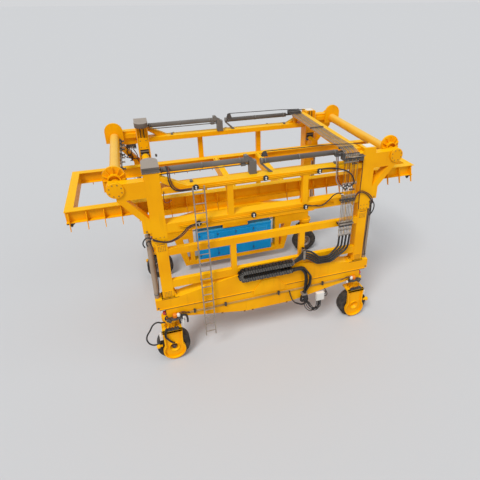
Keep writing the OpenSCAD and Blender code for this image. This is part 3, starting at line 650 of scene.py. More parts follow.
def chain_form():
    """The energy chain's links: side plates that overlap by turns, and the bars across them."""
    reach, plate = CHAIN_PITCH / 2 + 9, 9  # half a side plate's length, and its thickness
    outline = [(-reach, -32), (-reach + 18, -CHAIN_HALF), (reach - 18, -CHAIN_HALF), (reach, -32),
               (reach, 32), (reach - 18, CHAIN_HALF), (-reach + 18, CHAIN_HALF), (-reach, 32)]

    def link(form, i, x, z, turn):
        def place(points):
            return [(x + u * math.cos(turn) + v * math.sin(turn), z - u * math.sin(turn) + v * math.cos(turn))
                    for u, v in points]
        inset = plate * (i % 2)
        for out in (CHAIN_IN + inset, CHAIN_OUT - plate - inset):
            slab(form, -1, [place(outline)], out, out + plate)
        for v in (-CHAIN_HALF, CHAIN_HALF - 10):
            cross_bar = [(-14, v), (14, v), (14, v + 10), (-14, v + 10)]
            slab(form, -1, [place(cross_bar)], CHAIN_IN + inset, CHAIN_OUT - inset)

    def draw(form):
        for run in (-1, 1):
            for i in range(CHAIN_LINKS):
                link(form, i, CHAIN_BEND_X + (i + 0.5) * CHAIN_PITCH, CHAIN_Z + run * CHAIN_RADIUS, 0)
        for i in range(4):
            a = math.pi / 2 + (i + 0.5) * math.pi / 4
            x, z = CHAIN_BEND_X + CHAIN_RADIUS * math.cos(a), CHAIN_Z + CHAIN_RADIUS * math.sin(a)
            link(form, i + 1, x, z, math.pi / 2 - a)
    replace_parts(piece("energy_chain_links", "portal", chain_nylon, draw), "energy_chain")


def fork_outline(x, inset):
    """Outline of a fork plate: round at the wheel, with a waist above it and a wider top."""
    big, waist, top = 290 - inset, 236 - inset, 250 - inset
    a = math.acos(waist / big)
    return [(x + top, 1010 - 1.6 * inset), (x + waist, 735)] + arc(x, 340, big, a, -math.pi - a) + [
        (x - waist, 735), (x - top, 1010 - 1.6 * inset)]


def corner_forms(side, name, end, end_name):
    """Fork, tyre and rim of one steered wheel."""
    corner, x = f"{name}_{end_name}", end * WHEEL_X
    hub, face = at(side, x, 0, HUB_Z), outwards(side)

    def fork(form):
        slab(form, side, [fork_outline(x, 0), circle(x, HUB_Z, 136, 48)], 155, 180)
        slab(form, side, [fork_outline(x, 0), fork_outline(x, 38)], 179, 235)
        lathe(form, hub, face, [(140, 75), (140, 198), (128, 198), (80, 95)], 48)
        lathe(form, hub, face, [(90, 94), (90, 113)], 40)
        side_block(form, side, x - 250, x + 250, -140, 235, 950, 1010)
        lathe(form, at(side, x, 0, 1009), Z,
              [(185, 0), (185, 31), (125, 31), (125, 244), (215, 244), (215, 295)], 48)
        for i in range(4):
            turn = Matrix.Rotation(math.pi * (2 * i + 1) / 8, 4, "Z")
            turned = Matrix.Translation(at(side, x, 0, 1131)) @ turn
            bmesh.ops.create_cube(form, size=1, matrix=turned @ Matrix.Diagonal((0.35, 0.018, 0.244, 1)))
    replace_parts(piece(f"{corner}_rimmed_fork", f"{corner}_steering", crane_yellow, fork, 3), f"{corner}_fork")

    def tyre(form):
        half = [(210, 115), (250, 138), (330, 140), (395, 128), (418, 100), (425, 60)]
        profile = [(r, -w) for r, w in half] + [(r, w) for r, w in half[::-1]]
        lathe(form, hub, Y, profile, 96, hollow=True)
    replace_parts(piece(f"{corner}_round_tyre", f"{corner}_wheel", tyre_rubber, tyre), f"{corner}_tyre")

    def rim(form):
        lathe(form, hub, Y, [(30, -50), (185, -50), (185, -130), (209.8, -130), (209.8, 130), (185, 130),
                             (185, 50), (30, 50)], 96)
        lathe(form, hub, face, [(90, -90), (90, -49)], 32)
        lathe(form, hub, face, [(55, 49), (55, 93)], 32)
    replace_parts(piece(f"{corner}_dished_rim", f"{corner}_wheel", wheel_grey, rim), f"{corner}_rim")


def wheel_forms():
    for side, name in SIDES:
        for end, end_name in ENDS:
            corner_forms(side, name, end, end_name)


def door_x(i):
    """Left edge of a door of the power pack, counted from the left."""
    return -PACK_HALF + 30 + i * DOOR_WIDTH


def pack_doors(form):
    """Raised doors on both long faces of the pack, and a panel on each end."""
    for i in range(DOOR_COUNT):
        x = door_x(i)
        for out in (PACK_IN - 12, PACK_OUT):
            side_block(form, 1, x + 12, x + DOOR_WIDTH - 12, out, out + 12, 490, 1420)
    for end in (-1, 1):
        side_block(form, 1, end * PACK_HALF, end * (PACK_HALF + 12), -64, 396, 640, 1360)


# Fittings of the portal

def portal_fittings():
    for side, name in SIDES:
        def foot_bolts(form):
            for end in (-1, 1):
                for out in (-90, 0, 90):
                    bolt(form, at(side, end * 2400, out, 2005), Z, 14)
                for out in (-136, 136):
                    for x in (2500, LEG_X, 2680):
                        bolt(form, at(side, end * x, out, 2005), Z, 8)
        piece(f"{name}_mast_foot_bolts", "portal", bolt_zinc, foot_bolts)

        # A dark strip under each mast foot: painted shade of the gap under the foot plate
        def foot_painted_shade(form):
            for end in (-1, 1):
                side_block(form, side, end * 2338, end * 2756, -156, 156, SILL_TOP + 0.5, SILL_TOP + 7)
        piece(f"{name}_mast_foot_painted_shade", "portal", gap_shade_brown, foot_painted_shade)

        # Dark brown strips under the sill's lip: painted shade of the gap between the sill and the wheel beam
        def lip_painted_shade(form):
            for x0, x1 in ((-2850, -500), (500, 2850)):
                side_block(form, side, x0, x1, 151, 158, 1664, 1685)
        piece(f"{name}_sill_lip_painted_shade", "portal", screw_brown, lip_painted_shade)

        def mast_plates(form):
            for end in (-1, 1):
                side_block(form, side, end * 2500, end * 2680, 125, 133, 2030, 2200)
                side_block(form, side, end * 2500, end * 2680, 125, 133, 3350, 3500)
        piece(f"{name}_mast_patch_plates", "portal", crane_yellow, mast_plates, 2)

        def plate_bolts(form):
            for end in (-1, 1):
                for i in range(5):
                    for k in range(4):
                        bolt(form, at(side, end * (2516 + 37 * i), 133, 2052 + 42 * k), outwards(side), 7)
                        bolt(form, at(side, end * (2516 + 37 * i), 133, 3366 + 39 * k), outwards(side), 7)
                    side_block(form, side, end * (2508 + 37 * i), end * (2530 + 37 * i), 125, 134, 3530, 3546)
        piece(f"{name}_mast_plate_bolts", "portal", screw_brown, plate_bolts)

        def sill_ends(form):
            for end in (-1, 1):
                bar(form, at(side, end * 2870, 150, 1740), at(side, end * 2870, 156, 1740), 22, 20)
        piece(f"{name}_sill_end_plugs", "portal", fitting_steel, sill_ends)

        for end, end_name in ENDS:
            x = end * LIFT_X
            def cylinder_fittings(form):
                base = at(side, x, 0, 1980)
                lathe(form, base + Z * 0.09, Z, [(66, 0), (68, 12), (64, 40)], 32)
                for z in (2110, 3640):
                    lathe(form, at(side, x - end * 20, 58, z), outwards(side),
                          [(20, 0), (20, 26), (14, 30), (14, 44)], 16)
            piece(f"{name}_{end_name}_lift_cylinder_rings", "portal", cylinder_grey, cylinder_fittings)
            bend = [at(side, x - end * 20, 96, 3640), at(side, x - end * 40, 130, 3600),
                    at(side, x - end * 70, 125, 3480),
                    at(side, x - end * 72, 110, 3000), at(side, x - end * 72, 104, 2400),
                    at(side, x - end * 40, 120, 2160),
                    at(side, x - end * 20, 96, 2110)]
            hose(f"{name}_{end_name}_lift_line", "portal", hose_rubber, bend, 11)


def chain_ribs():
    """Pale ribs on the edges of the chain's side plates and bars, two to each link, which show as a ladder:
    painted highlights.
    """

    def ribs(form):
        for run in (-1, 1):
            run_z = CHAIN_Z + run * CHAIN_RADIUS
            for i in range(CHAIN_LINKS):
                for step in (0.06, 0.52):
                    x = CHAIN_BEND_X + (i + step) * CHAIN_PITCH
                    for v in side_block(form, -1, x, x + 9, CHAIN_OUT - 4, CHAIN_OUT + 2, run_z - 50,
                                        run_z + 50):
                        v.co.x += (v.co.z - run_z * MM) * 0.28
        for i in range(9):
            a = math.pi / 2 + math.pi * (i + 0.5) / 9
            out = Vector((math.cos(a), 0, math.sin(a)))
            spot = at(-1, CHAIN_BEND_X, CHAIN_OUT - 1, CHAIN_Z) + out * CHAIN_RADIUS * MM
            turned = Matrix.Translation(spot) @ Matrix.Rotation(-a, 4, "Y")
            bmesh.ops.create_cube(form, size=1, matrix=turned @ Matrix.Diagonal((0.1, 0.006, 0.009, 1)))
    piece("energy_chain_painted_highlight_ribs", "portal", chain_highlight_grey, ribs)

    def bars(form):
        top = CHAIN_Z + CHAIN_RADIUS + CHAIN_HALF
        for i in range(CHAIN_LINKS * 2):
            x = CHAIN_BEND_X + (i + 0.5) * CHAIN_PITCH / 2
            side_block(form, -1, x - 9, x + 9, CHAIN_OUT - 140, CHAIN_OUT - 12, top - 6, top + 2)
    piece("energy_chain_top_bars", "portal", chain_nylon, bars)


# Fittings of the wheel beams and the steered wheels

def slew_fittings(body, side, end, corner):
    """Tail lamp and slewing drive over one steered wheel."""
    drive_out, drive_z = 206, 1360  # axis of the worm that turns the slew ring
    def lamp(form):
        lathe(form, at(side, end * 2700, 60, 1500), X * end,
              [(52, 0), (56, 10), (56, 60), (50, 78), (30, 90)], 24)
    piece(f"{corner}_tail_lamp", body, lamp_red, lamp)
    piece(f"{corner}_tail_lamp_guard", body, fitting_steel, lambda form: torus(
        form, at(side, end * 2716, 60, 1500), X, 62, 7))

    def slew_drive(form):
        start = at(side, end * (WHEEL_X - 150), drive_out, drive_z)
        lathe(form, start, X * end,
              [(30, 0), (44, 6), (44, 60), (36, 66), (36, 190), (44, 196), (44, 250), (26, 258)], 28)
        side_block(form, side, end * (WHEEL_X - 60), end * (WHEEL_X + 70), 144, 206, 1325, 1392)
        lathe(form, at(side, end * (WHEEL_X + 20), drive_out, drive_z), outwards(side),
              [(46, 0), (46, 52), (40, 58), (40, 70)], 28)
    piece(f"{corner}_slew_worm_housing", body, fitting_steel, slew_drive, 2)

    def slew_motor(form):
        start = at(side, end * (WHEEL_X - 150), drive_out, drive_z)
        lathe(form, start - X * end * 0.002, -X * end,
              [(42, 0), (42, 20), (34, 26), (34, 120), (38, 126), (38, 150)], 24)
        side_block(form, side, end * (WHEEL_X - 260), end * (WHEEL_X - 200), 170, 250, 1385, 1430)
        for dx in (-246, -214):
            lathe(form, at(side, end * (WHEEL_X + dx), 210, 1430), Z,
                  [(13, 0), (13, 18), (9, 20), (9, 40)], 12)
    piece(f"{corner}_slew_motor", body, fitting_steel, slew_motor, 2)
    piece(f"{corner}_slew_motor_cap", body, box_white, lambda form: lathe(
        form, at(side, end * (WHEEL_X - 304), drive_out, drive_z), -X * end, [(36, 0), (36, 34), (24, 44)], 24))
    hose(f"{corner}_slew_motor_hose", body, hose_rubber, [at(side, end * x, out, z) for x, out, z in (
        (WHEEL_X - 246, 210, 1462), (WHEEL_X - 262, 214, 1500), (WHEEL_X - 330, 206, 1512),
        (WHEEL_X - 420, 180, 1476), (WHEEL_X - 480, 168, 1462))], 11)
    hose(f"{corner}_slew_return_hose", body, red_hose, [at(side, end * x, out, z) for x, out, z in (
        (WHEEL_X - 214, 210, 1462), (WHEEL_X - 226, 216, 1530), (WHEEL_X - 320, 210, 1546),
        (WHEEL_X - 430, 182, 1470), (WHEEL_X - 500, 168, 1430))], 9)

    piece(f"{corner}_slew_brake_cap", body, motor_orange, lambda form: lathe(
        form, at(side, end * (WHEEL_X - 120), 196, 1420), Z,
        [(58, 0), (62, 8), (62, 60), (50, 84), (20, 92)], 28))
    piece(f"{corner}_slew_oil_tank", body, box_white, lambda form: lathe(
        form, at(side, end * (WHEEL_X - 205), 214, 1440), Z,
        [(40, 0), (44, 8), (44, 66), (34, 76), (16, 88)], 24))

    def slew_bolts(form):
        bolt_circle(form, at(side, end * WHEEL_X, 0, 1310), -Z, 188, 20, 13)
    piece(f"{corner}_slew_ring_bolts", body, bolt_zinc, slew_bolts)


def beam_fittings():
    for side, name in SIDES:
        body = f"{name}_beam"

        def pipes(form):
            for drop in (0, 34):
                knots = [(-2230, 1462), (-1201, 1470), (258, 1468), (1553, 1476), (2160, 1478)]
                for (x0, z0), (x1, z1) in zip(knots, knots[1:]):
                    bar(form, at(side, x0, 166, z0 - drop), at(side, x1, 166, z1 - drop), 11)
        piece(f"{name}_beam_pipes", body, pipe_tan, pipes)

        def pipe_clamps(form):
            for x, z in ((-2005, 1470), (-1201, 1470), (258, 1468), (1553, 1476)):
                side_block(form, side, x - 26, x + 26, 144, 188, z - 66, z + 40)
                bolt(form, at(side, x, 188, z + 22), outwards(side), 12)
                bolt(form, at(side, x, 188, z - 50), outwards(side), 12)
        piece(f"{name}_beam_pipe_clamps", body, fitting_steel, pipe_clamps, 3)

        for end, end_name in ENDS:
            slew_fittings(body, side, end, f"{name}_{end_name}")

    def edge_lugs(form):
        for x in (-1296, -694, -471, 506):
            edge_z = 1060 + max(0, abs(x) - 620) * 0.17
            side_block(form, -1, x - 26, x + 26, 120, 152, edge_z - 20, edge_z + 20)
    piece("near_beam_edge_lugs", "near_beam", screw_brown, edge_lugs, 3)

    def horn(form):
        lathe(form, at(-1, -2318, 190, 1090), Z,
              [(34, 0), (38, 8), (38, 150), (30, 170), (30, 220), (20, 232)], 24)
    piece("near_left_accumulator", "near_beam", box_white, horn)
    piece("near_left_accumulator_bracket", "near_beam", fitting_steel, lambda form: (
        side_block(form, -1, -2350, -2286, 144, 160, 1180, 1400),
        side_block(form, -1, -2364, -2272, 156, 196, 1236, 1262)), 3)
    arch = [at(-1, x, 200, z) for x, z in ((-2395, 1180), (-2400, 1330), (-2350, 1420), (-2290, 1440),
                                           (-2225, 1380), (-2208, 1240), (-2212, 1180))]
    hose("near_left_arch_hose", "near_beam", sleeve_rubber, arch, 26)
    hose("near_right_loop_hose", "near_beam", hose_rubber,
         [at(-1, *p) for p in ((1640, 150, 1250), (1690, 158, 1150), (1725, 160, 1040), (1690, 152, 980),
                               (1600, 110, 1000))], 13)
    for i, out in enumerate((175, 208)):
        path = ((560, out, 1450), (600, out + 10, 1280), (700, out + 12, 1060), (830, out + 10, 960),
                (980, out + 8, 905),
                (1100, out + 4, 1010), (1095, out, 1180))
        hose(f"near_beam_slack_loop_{i + 1}", "near_beam", hose_rubber, [at(-1, *p) for p in path], 14)


def corner_fittings(side, name, end, end_name):
    """Tread bars, nuts, steering head, valves and hub motor of one steered wheel."""
    corner, x = f"{name}_{end_name}", end * WHEEL_X
    steering, wheel = f"{corner}_steering", f"{corner}_wheel"
    hub = at(side, x, 0, HUB_Z)

    def tread(form):
        # Rib tread: shallow cross sipes, drawn as 72 raised bars on each shoulder
        for i in range(72):
            a = 2 * math.pi * i / 72
            for shoulder in (-1, 1):
                spot = hub + Vector((math.sin(a), 0, math.cos(a))) * 0.4185
                turned = Matrix.Translation(spot + Y * shoulder * 0.094) @ Matrix.Rotation(a, 4, "Y")
                bmesh.ops.create_cube(form, size=1, matrix=turned @ Matrix.Diagonal((0.022, 0.05, 0.01, 1)))
    piece(f"{corner}_tyre_shoulder_bars", wheel, tyre_rubber, tread)

    def nuts(form):
        inward = -outwards(side)
        bolt_circle(form, hub + inward * 0.05, inward, 140, 10, 16)
        lathe(form, hub + inward * 0.088, inward, [(62, 0), (60, 12), (40, 22)], 24)
    piece(f"{corner}_wheel_nuts", wheel, bolt_zinc, nuts)
    piece(f"{corner}_bead_ring", wheel, wheel_grey, lambda form: [
        torus(form, hub + outwards(side) * s * 0.118, Y, 206, 9) for s in (-1, 1)])

    def neck_bolts(form):
        bolt_circle(form, at(side, x, 0, 1040), Z, 160, 12, 15)
        bolt_circle(form, at(side, x, 0, 1262), -Z, 190, 20, 12)
    piece(f"{corner}_steering_head_bolts", steering, bolt_zinc, neck_bolts)

    def knob(form):
        base = at(side, x + end * 285, 190, 560)
        lathe(form, base, X * end,
              [(30, 0), (30, 60), (52, 70), (60, 95), (60, 128), (48, 148), (20, 154)], 28)
    piece(f"{corner}_lock_knob", steering, crane_yellow, knob)

    def valve_plate(form):
        side_block(form, side, x - 175, x + 175, 150, 225, 1010, 1042)
        for dx in (-130, -60, 10, 80, 140):
            side_block(form, side, x + dx - 24, x + dx + 24, 158, 216, 1042, 1070)
            lathe(form, at(side, x + dx, 187, 1070), Z, [(13, 0), (13, 14), (8, 16), (8, 34)], 10)
    piece(f"{corner}_valve_plate", steering, fitting_steel, valve_plate, 2)
    piece(f"{corner}_cup_lip", steering, crane_yellow, lambda form: torus(
        form, hub + outwards(side) * 0.199, Y, 133, 8, 48))
    if end < 0:
        def motor(form):
            face = outwards(side)
            lathe(form, hub + face * 0.113, face,
                  [(74, 0), (74, 10), (52, 14), (52, 60), (36, 66), (36, 84)], 28)
            bolt_circle(form, hub + face * 0.123, face, 64, 8, 7)
            for dx in (-30, 30):
                lathe(form, hub + X * dx * MM + face * 0.15 + Z * 0.04, Z,
                      [(14, 0), (14, 34), (18, 36), (18, 52)], 12)
        piece(f"{corner}_hub_motor", steering, fitting_steel, motor)
        piece(f"{corner}_hub_motor_ring", steering, red_hose, lambda form: torus(
            form, hub + outwards(side) * 0.176, Y, 52, 9, 32))
        for i, dx in enumerate((-30, 30)):
            path = [at(side, x + dx, 150, 500), at(side, x + dx + end * 6, 186, 555),
                    at(side, x + end * (40 + 20 * i), 236, 650),
                    at(side, x + end * (110 + 24 * i), 246, 760),
                    at(side, x + end * (165 + 30 * i), 246, 880),
                    at(side, x + end * (150 + 26 * i), 236, 1000),
                    at(side, x + end * (120 + 26 * i), 206, 1076)]
            hose(f"{corner}_hub_hose_{i + 1}", steering, hose_rubber, path, 15)

    def drum(form):
        side_block(form, side, x + end * 250, x + end * 330, 60, 170, 720, 860)
        lathe(form, at(side, x + end * 290, 115, 860), Z, [(34, 0), (34, 30), (24, 40), (24, 60)], 20)
        bolt_circle(form, at(side, x + end * 290, 170, 790), outwards(side), 30, 4, 6)
    piece(f"{corner}_brake_valve", steering, box_white, drum, 4)


def wheel_fittings():
    for side, name in SIDES:
        for end, end_name in ENDS:
            corner_fittings(side, name, end, end_name)
    stub = ((-2690, 146, 1440), (-2735, 166, 1432), (-2748, 168, 1390), (-2740, 162, 1345))
    hose("near_left_beam_stub_hose", "near_beam", sleeve_rubber, [at(-1, *p) for p in stub], 20)
    loop = ((-2742, 150, 1264), (-2800, 158, 1284), (-2865, 165, 1294), (-2930, 170, 1330),
            (-3020, 172, 1318), (-3165, 172, 1111), (-3258, 172, 938), (-3262, 172, 800),
            (-3160, 172, 640), (-3035, 172, 622), (-2955, 165, 668), (-2930, 140, 735))
    hose("near_left_steering_hose", "near_left_steering", sleeve_rubber, [at(-1, *p) for p in loop], 20)


# Fittings of the upper frame

def beam_and_leg_fittings(side, name):
    """Pipes, glands, bolts, rings, ropes and covers of one side of the upper frame."""
    for level, z, spots in (("top", 4870, (-1693, -88, 1258)), ("mid", 3965, (-1701, -393, 938))):
        def pipes(form):
            for drop in (0, 34):
                bar(form, at(side, -2150, 166, z - drop), at(side, 1700, 166, z + 8 - drop), 10)
        piece(f"{name}_{level}_beam_pipes", "upper_frame", crane_yellow, pipes)

        def glands(form):
            for x in spots:
                seat = at(side, x, 145, z - 14)
                lathe(form, seat, outwards(side), [(66, 0), (66, 30), (58, 40), (44, 40), (44, 34)], 32)
        piece(f"{name}_{level}_bulkhead_glands", "upper_frame", hose_rubber, glands)

        def gland_nuts(form):
            for x in spots:
                for rise in (-24, 22):
                    seat = at(side, x + 4, 179, z - 14 + rise)
                    lathe(form, seat, outwards(side), [(22, 0), (22, 10), (14, 14), (14, 30)], 6)
        piece(f"{name}_{level}_gland_nuts", "upper_frame", box_white, gland_nuts)

    def disc_bolts(form):
        for end in (-1, 1):
            bolt_circle(form, at(side, end * TUBE_X, 193, DISC_Z), outwards(side), 132, 8, 10)
    piece(f"{name}_end_disc_bolts", "upper_frame", bolt_zinc, disc_bolts)

    def arm_bolts(form):
        for end in (-1, 1):
            lathe(form, at(side, end * 2855, ARM_FACE, 3940), outwards(side),
                  [(22, 0), (22, 12), (16, 16)], 20)
            for x in (2800, 2850, 2900, 2950, 3000):
                bolt(form, at(side, end * x, -40, ARM_LOW), -Z, 9)
    piece(f"{name}_arm_bolts", "upper_frame", bolt_zinc, arm_bolts)

    def pad_bolts(form):
        for end in (-1, 1):
            for z in (3640, 3735):
                for x in (-90, 0, 90):
                    bolt(form, at(side, end * LEG_X + x, ARM_FACE, z), outwards(side), 8)
                for out in (-70, 70):
                    bolt(form, at(side, end * SLEEVE_OUT, out, z), X * end, 10)
    piece(f"{name}_wear_pad_bolts", "upper_frame", bolt_zinc, pad_bolts)

    def hoist_rings(form):
        for x in (-2380, -1500, -640):
            lathe(form, at(side, x, LEFT_HOIST_OUT, HOIST_Z), X, [(66, 0), (70, 5), (70, 22), (66, 27)], 32)
        for x in (-60, 780, 1700):
            lathe(form, at(side, x, RIGHT_HOIST_OUT, RIGHT_HOIST_Z), X,
                  [(66, 0), (70, 5), (70, 22), (66, 27)], 32)
        lathe(form, at(side, -545, -118, STAY_Z), outwards(side), [(16, 0), (16, 50)], 16)
    piece(f"{name}_hoist_cylinder_rings", "upper_frame", cylinder_grey, hoist_rings)

    def rope_guide(form):
        centre = at(side, -30, -100, 5352)
        lathe(form, centre, outwards(side),
              [(18, -20), (48, -18), (58, -14), (46, -4), (46, 4), (58, 14), (48, 18), (18, 20)], 32)
        for out in (-130, -76):
            verts = side_block(form, side, -110, 50, out - 4, out + 4, 5290, 5390)
            for v in verts:
                if v.co.z > 5.3:
                    v.co.x = (-30 + (60 if v.co.x > -0.03 else -60) * 0.5) * MM
    piece(f"{name}_rope_guide", "upper_frame", fitting_steel, rope_guide)
    rope = [at(side, x, -100, z) for x, z in ((-30, 5408), (900, 5396), (1660, 5386), (2425, 5330))]
    hose(f"{name}_right_hoist_rope", "upper_frame", rope_steel, rope, 10)

    def rod_yoke(form):
        """Eye at the cylinder's head and the inclined strap down to the pedestal."""
        lathe(form, at(side, -470, -150, 5330), outwards(side), [(52, 0), (56, 8), (56, 106), (52, 114)], 28)
        for out in (-160, -40):
            verts = side_block(form, side, -520, -300, out, out + 14, 5236, 5380)
            for v in verts:
                if v.co.z > 5.3 and v.co.x > -0.4:
                    v.co.z -= 120 * MM
    piece(f"{name}_rod_yoke", "upper_frame", cylinder_grey, rod_yoke, 3)

    def cap_bolts(form):
        for out in (-100, 60):
            for way in (-1, 1):
                bolt(form, at(side, -LEG_X + way * 183, out, CAP_LOW + 20), X * way, 9)
        for dx in (-120, 0, 120):
            bolt(form, at(side, -LEG_X + dx, ARM_FACE + 8, CAP_LOW + 10), outwards(side), 8)
    piece(f"{name}_sheave_cap_bolts", "upper_frame", bolt_zinc, cap_bolts)

    def cap_seam(form):
        side_block(form, side, -LEG_X - 181, -LEG_X + 181, ARM_FACE, ARM_FACE + 4, CAP_TOP - 48, CAP_TOP - 40)
    piece(f"{name}_sheave_cap_seam", "upper_frame", fitting_steel, cap_seam)

    def guide_edges(form):
        for end in (-1, 1):
            for dx in (-163, 157):
                side_block(form, side, end * LEG_X + dx, end * LEG_X + dx + 6, -216, -213, 3900, 5270)
    piece(f"{name}_guide_wear_edges", "upper_frame", wear_rail, guide_edges)

    def right_leg_top(form):
        side_block(form, side, 2500, 2720, -110, 110, 5290, 5300)
        for x in (2515, 2705):
            for out in (-95, 95):
                bolt(form, at(side, x, out, 5300), Z, 8)
    piece(f"{name}_right_leg_cover", "upper_frame", box_white, right_leg_top, 3)


def tube_and_arm_fittings():
    """Pipes along the left cross tube, and the lock valves with their hoses under the far left arm."""
    for i, (x, z) in enumerate(((-3196, 4985), (-3192, 4945))):
        hose(f"tube_side_pipe_{i + 1}", "upper_frame", (galvanised, hose_rubber)[i],
             [Vector((x * MM, y, z * MM)) for y in (-1.62, -0.8, 0.0, 0.8, 1.62)], 13)

    def tube_fittings(form):
        for y in (-1.35, -0.68, 0.31, 0.75, 1.13, 1.45):
            block(form, Vector((-3.222, y - 0.03, 4.915)), Vector((-3.165, y + 0.03, 5.02)))
            lathe(form, Vector((-3.165, y, 4.965)), X,
                  [(30, 0), (30, 16), (20, 20), (20, 46), (27, 48), (27, 66)], 12)
    piece("tube_side_fittings", "upper_frame", fitting_steel, tube_fittings, 2)

    def tube_tees(form):
        for y in (-0.21, 0.1, 0.98):
            lathe(form, Vector((-3.2, y - 0.12, 4.965)), Y,
                  [(26, 0), (26, 30), (19, 34), (19, 206), (26, 210), (26, 240)], 16)
            lathe(form, Vector((-3.19, y, 4.965)), X, [(19, 0), (19, 60), (25, 62), (25, 84)], 16)
    piece("tube_side_tees", "upper_frame", galvanised, tube_tees)

    def lock_valves(form):
        side_block(form, 1, -3075, -2800, -64, 40, 4640, ARM_LOW)
        for x in (-3050, -2990, -2930, -2870, -2820):
            lathe(form, at(1, x, -64, 4700), -Y, [(24, 0), (24, 20), (17, 24), (17, 60)], 12)
            lathe(form, at(1, x, -20, 4640), -Z, [(22, 0), (22, 18), (15, 22), (15, 50)], 12)
    piece("far_left_lock_valves", "upper_frame", fitting_steel, lock_valves, 2)

    def lock_valve_ports(form):
        for x in (-2950, -2905):
            lathe(form, at(1, x, -66, 4668), -Y, [(18, 0), (22, 6), (22, 40), (14, 46), (14, 74)], 16)
    piece("far_left_lock_valve_ports", "upper_frame", bright_line, lock_valve_ports)
    strands = (
        ((-2958, 4600), (-2953, 4504), (-3049, 4424), (-3111, 4385), (-3160, 4420)),
        ((-2894, 4618), (-2842, 4506), (-2802, 4394), (-2813, 4300), (-2790, 4200)),
        ((-3079, 4420), (-2976, 4446), (-2937, 4380), (-2969, 4307), (-3020, 4260)),
        ((-3110, 4372), (-2966, 4331), (-2814, 4313), (-2775, 4330)),
        ((-3030, 4610), (-3075, 4540), (-3050, 4460), (-2990, 4400), (-2960, 4330), (-2980, 4250)))
    for i, path in enumerate(strands):
        points = [at(1, x, -84 - 6 * (i % 3), z) for x, z in path]
        hose(f"far_left_brace_hose_{i + 1}", "upper_frame", (hose_rubber, red_hose)[i % 2], points, 12)


def hose_column_fittings():
    """Manifold, elbows, valves, sockets and bolts of the lines on the bridge and down the near side."""
    def manifold(form):
        low, high = Vector((1.86, 1.56, 5.268)), Vector((2.19, 1.80, 5.35))
        block(form, low, high)
        for i in range(9):
            x = 1.865 + 0.04 * i
            lathe(form, Vector((x, 1.56, 5.29)), -Y, [(17, 0), (17, 30), (13, 34), (13, 60)], 12)
            lathe(form, Vector((x, 1.70, 5.35)), Z, [(16, 0), (16, 20), (9, 22), (9, 46)], 12)
        for i in range(3):
            lathe(form, Vector((1.90 + 0.12 * i, 1.80, 5.31)), Y, [(22, 0), (22, 20), (16, 24), (16, 90)], 16)
    piece("valve_manifold", "upper_frame", fitting_steel, manifold, 2)

    def line_ends(form):
        for i in range(LINE_COUNT):
            for z in (2962, 5000, 4420):
                lathe(form, at(-1, line_x(i), LINE_OUT, z), Z, [(17, 0), (17, 40), (14, 44), (14, 66)], 12)
    piece("hose_column_ferrules", "upper_frame", galvanised, line_ends)

    def elbows(form):
        for i in range(LINE_COUNT):
            foot = at(-1, line_x(i), LINE_OUT, 5010)
            lathe(form, foot, Z, [(19, 0), (19, 30), (14, 34), (14, 150), (18, 154), (18, 176)], 12)
            lathe(form, at(-1, line_x(i), 226, 5212), outwards(-1),
                  [(17, -10), (17, 30), (12, 34), (12, 48)], 6)
    piece("hose_column_elbows", "upper_frame", bright_line, elbows)

    def elbow_bodies(form):
        for i in range(LINE_COUNT):
            x = line_x(i)
            side_block(form, -1, x - 17, x + 17, 190, 252, 5190, 5236)
            side_block(form, -1, x - 15, x + 15, 206, 250, 5096, 5124)
        side_block(form, -1, 2262, 2372, 160, 262, 5030, 5168)
        side_block(form, -1, 1790, 1862, 160, 258, 5100, 5262)
        for i in range(5):
            lathe(form, at(-1, 1640 + 36 * i, 190, 5236), Z, [(15, 0), (15, 20), (10, 24), (10, 40)], 10)
        side_block(form, -1, 1620, 1810, 150, 226, 5190, 5236)
    piece("hose_column_elbow_bodies", "upper_frame", fitting_steel, elbow_bodies, 2)
    piece("hose_column_head_rail", "upper_frame", bright_line, lambda form: bar(
        form, at(-1, 1990, 268, 5150), at(-1, 2400, 268, 5150), 9))

    def column_valves(form):
        for x, out, z in ((1900, 252, 4392), (1962, 258, 4350), (2010, 250, 4412)):
            side_block(form, -1, x - 30, x + 30, 210, out, z - 34, z + 34)
            for dx in (-14, 14):
                lathe(form, at(-1, x + dx, 236, z + 34), Z, [(14, 0), (14, 16), (9, 18), (9, 40)], 10)
                lathe(form, at(-1, x + dx, 236, z - 34), -Z, [(14, 0), (14, 16), (9, 18), (9, 44)], 10)
        for x in (2090, 2140, 2190):
            side_block(form, -1, x - 14, x + 14, 214, 250, 4262, 4300)
            side_block(form, -1, x - 14, x + 14, 214, 250, 4952, 4984)
    piece("hose_column_valves", "upper_frame", fitting_steel, column_valves, 2)

    def valve_caps(form):
        for x, z in ((1880, 4420), (1930, 4370), (1990, 4380), (2024, 4440), (1846, 4200), (1886, 4190)):
            lathe(form, at(-1, x, 254, z), outwards(-1), [(17, 0), (17, 16), (11, 20)], 16)
    piece("hose_column_valve_caps", "upper_frame", box_white, valve_caps)

    def comb_sockets(form):
        for x in map(line_x, range(LINE_COUNT)):
            for z in (3952, 3232):
                lathe(form, at(-1, x, LINE_OUT, z), Z,
                      [(20, 0), (20, 30), (15, 34), (15, 60), (20, 64), (20, 100)], 12)
    piece("hose_column_comb_sockets", "upper_frame", fitting_steel, comb_sockets)

    def tail_sockets(form):
        for x in map(line_x, range(LINE_COUNT)):
            for z in (4092, 3340, 3120):
                lathe(form, at(-1, x, LINE_OUT, z), Z, [(17, 0), (17, 60), (13, 64)], 12)
    piece("hose_column_tail_sockets", "upper_frame", bright_line, tail_sockets)

    def comb_bolts(form):
        for z in (5070, 3990):
            for x in (1862, 1950, 2060, 2170, 2258):
                bolt(form, at(-1, x, 250, z), outwards(-1), 10)
    piece("hose_column_comb_bolts", "upper_frame", bolt_zinc, comb_bolts)


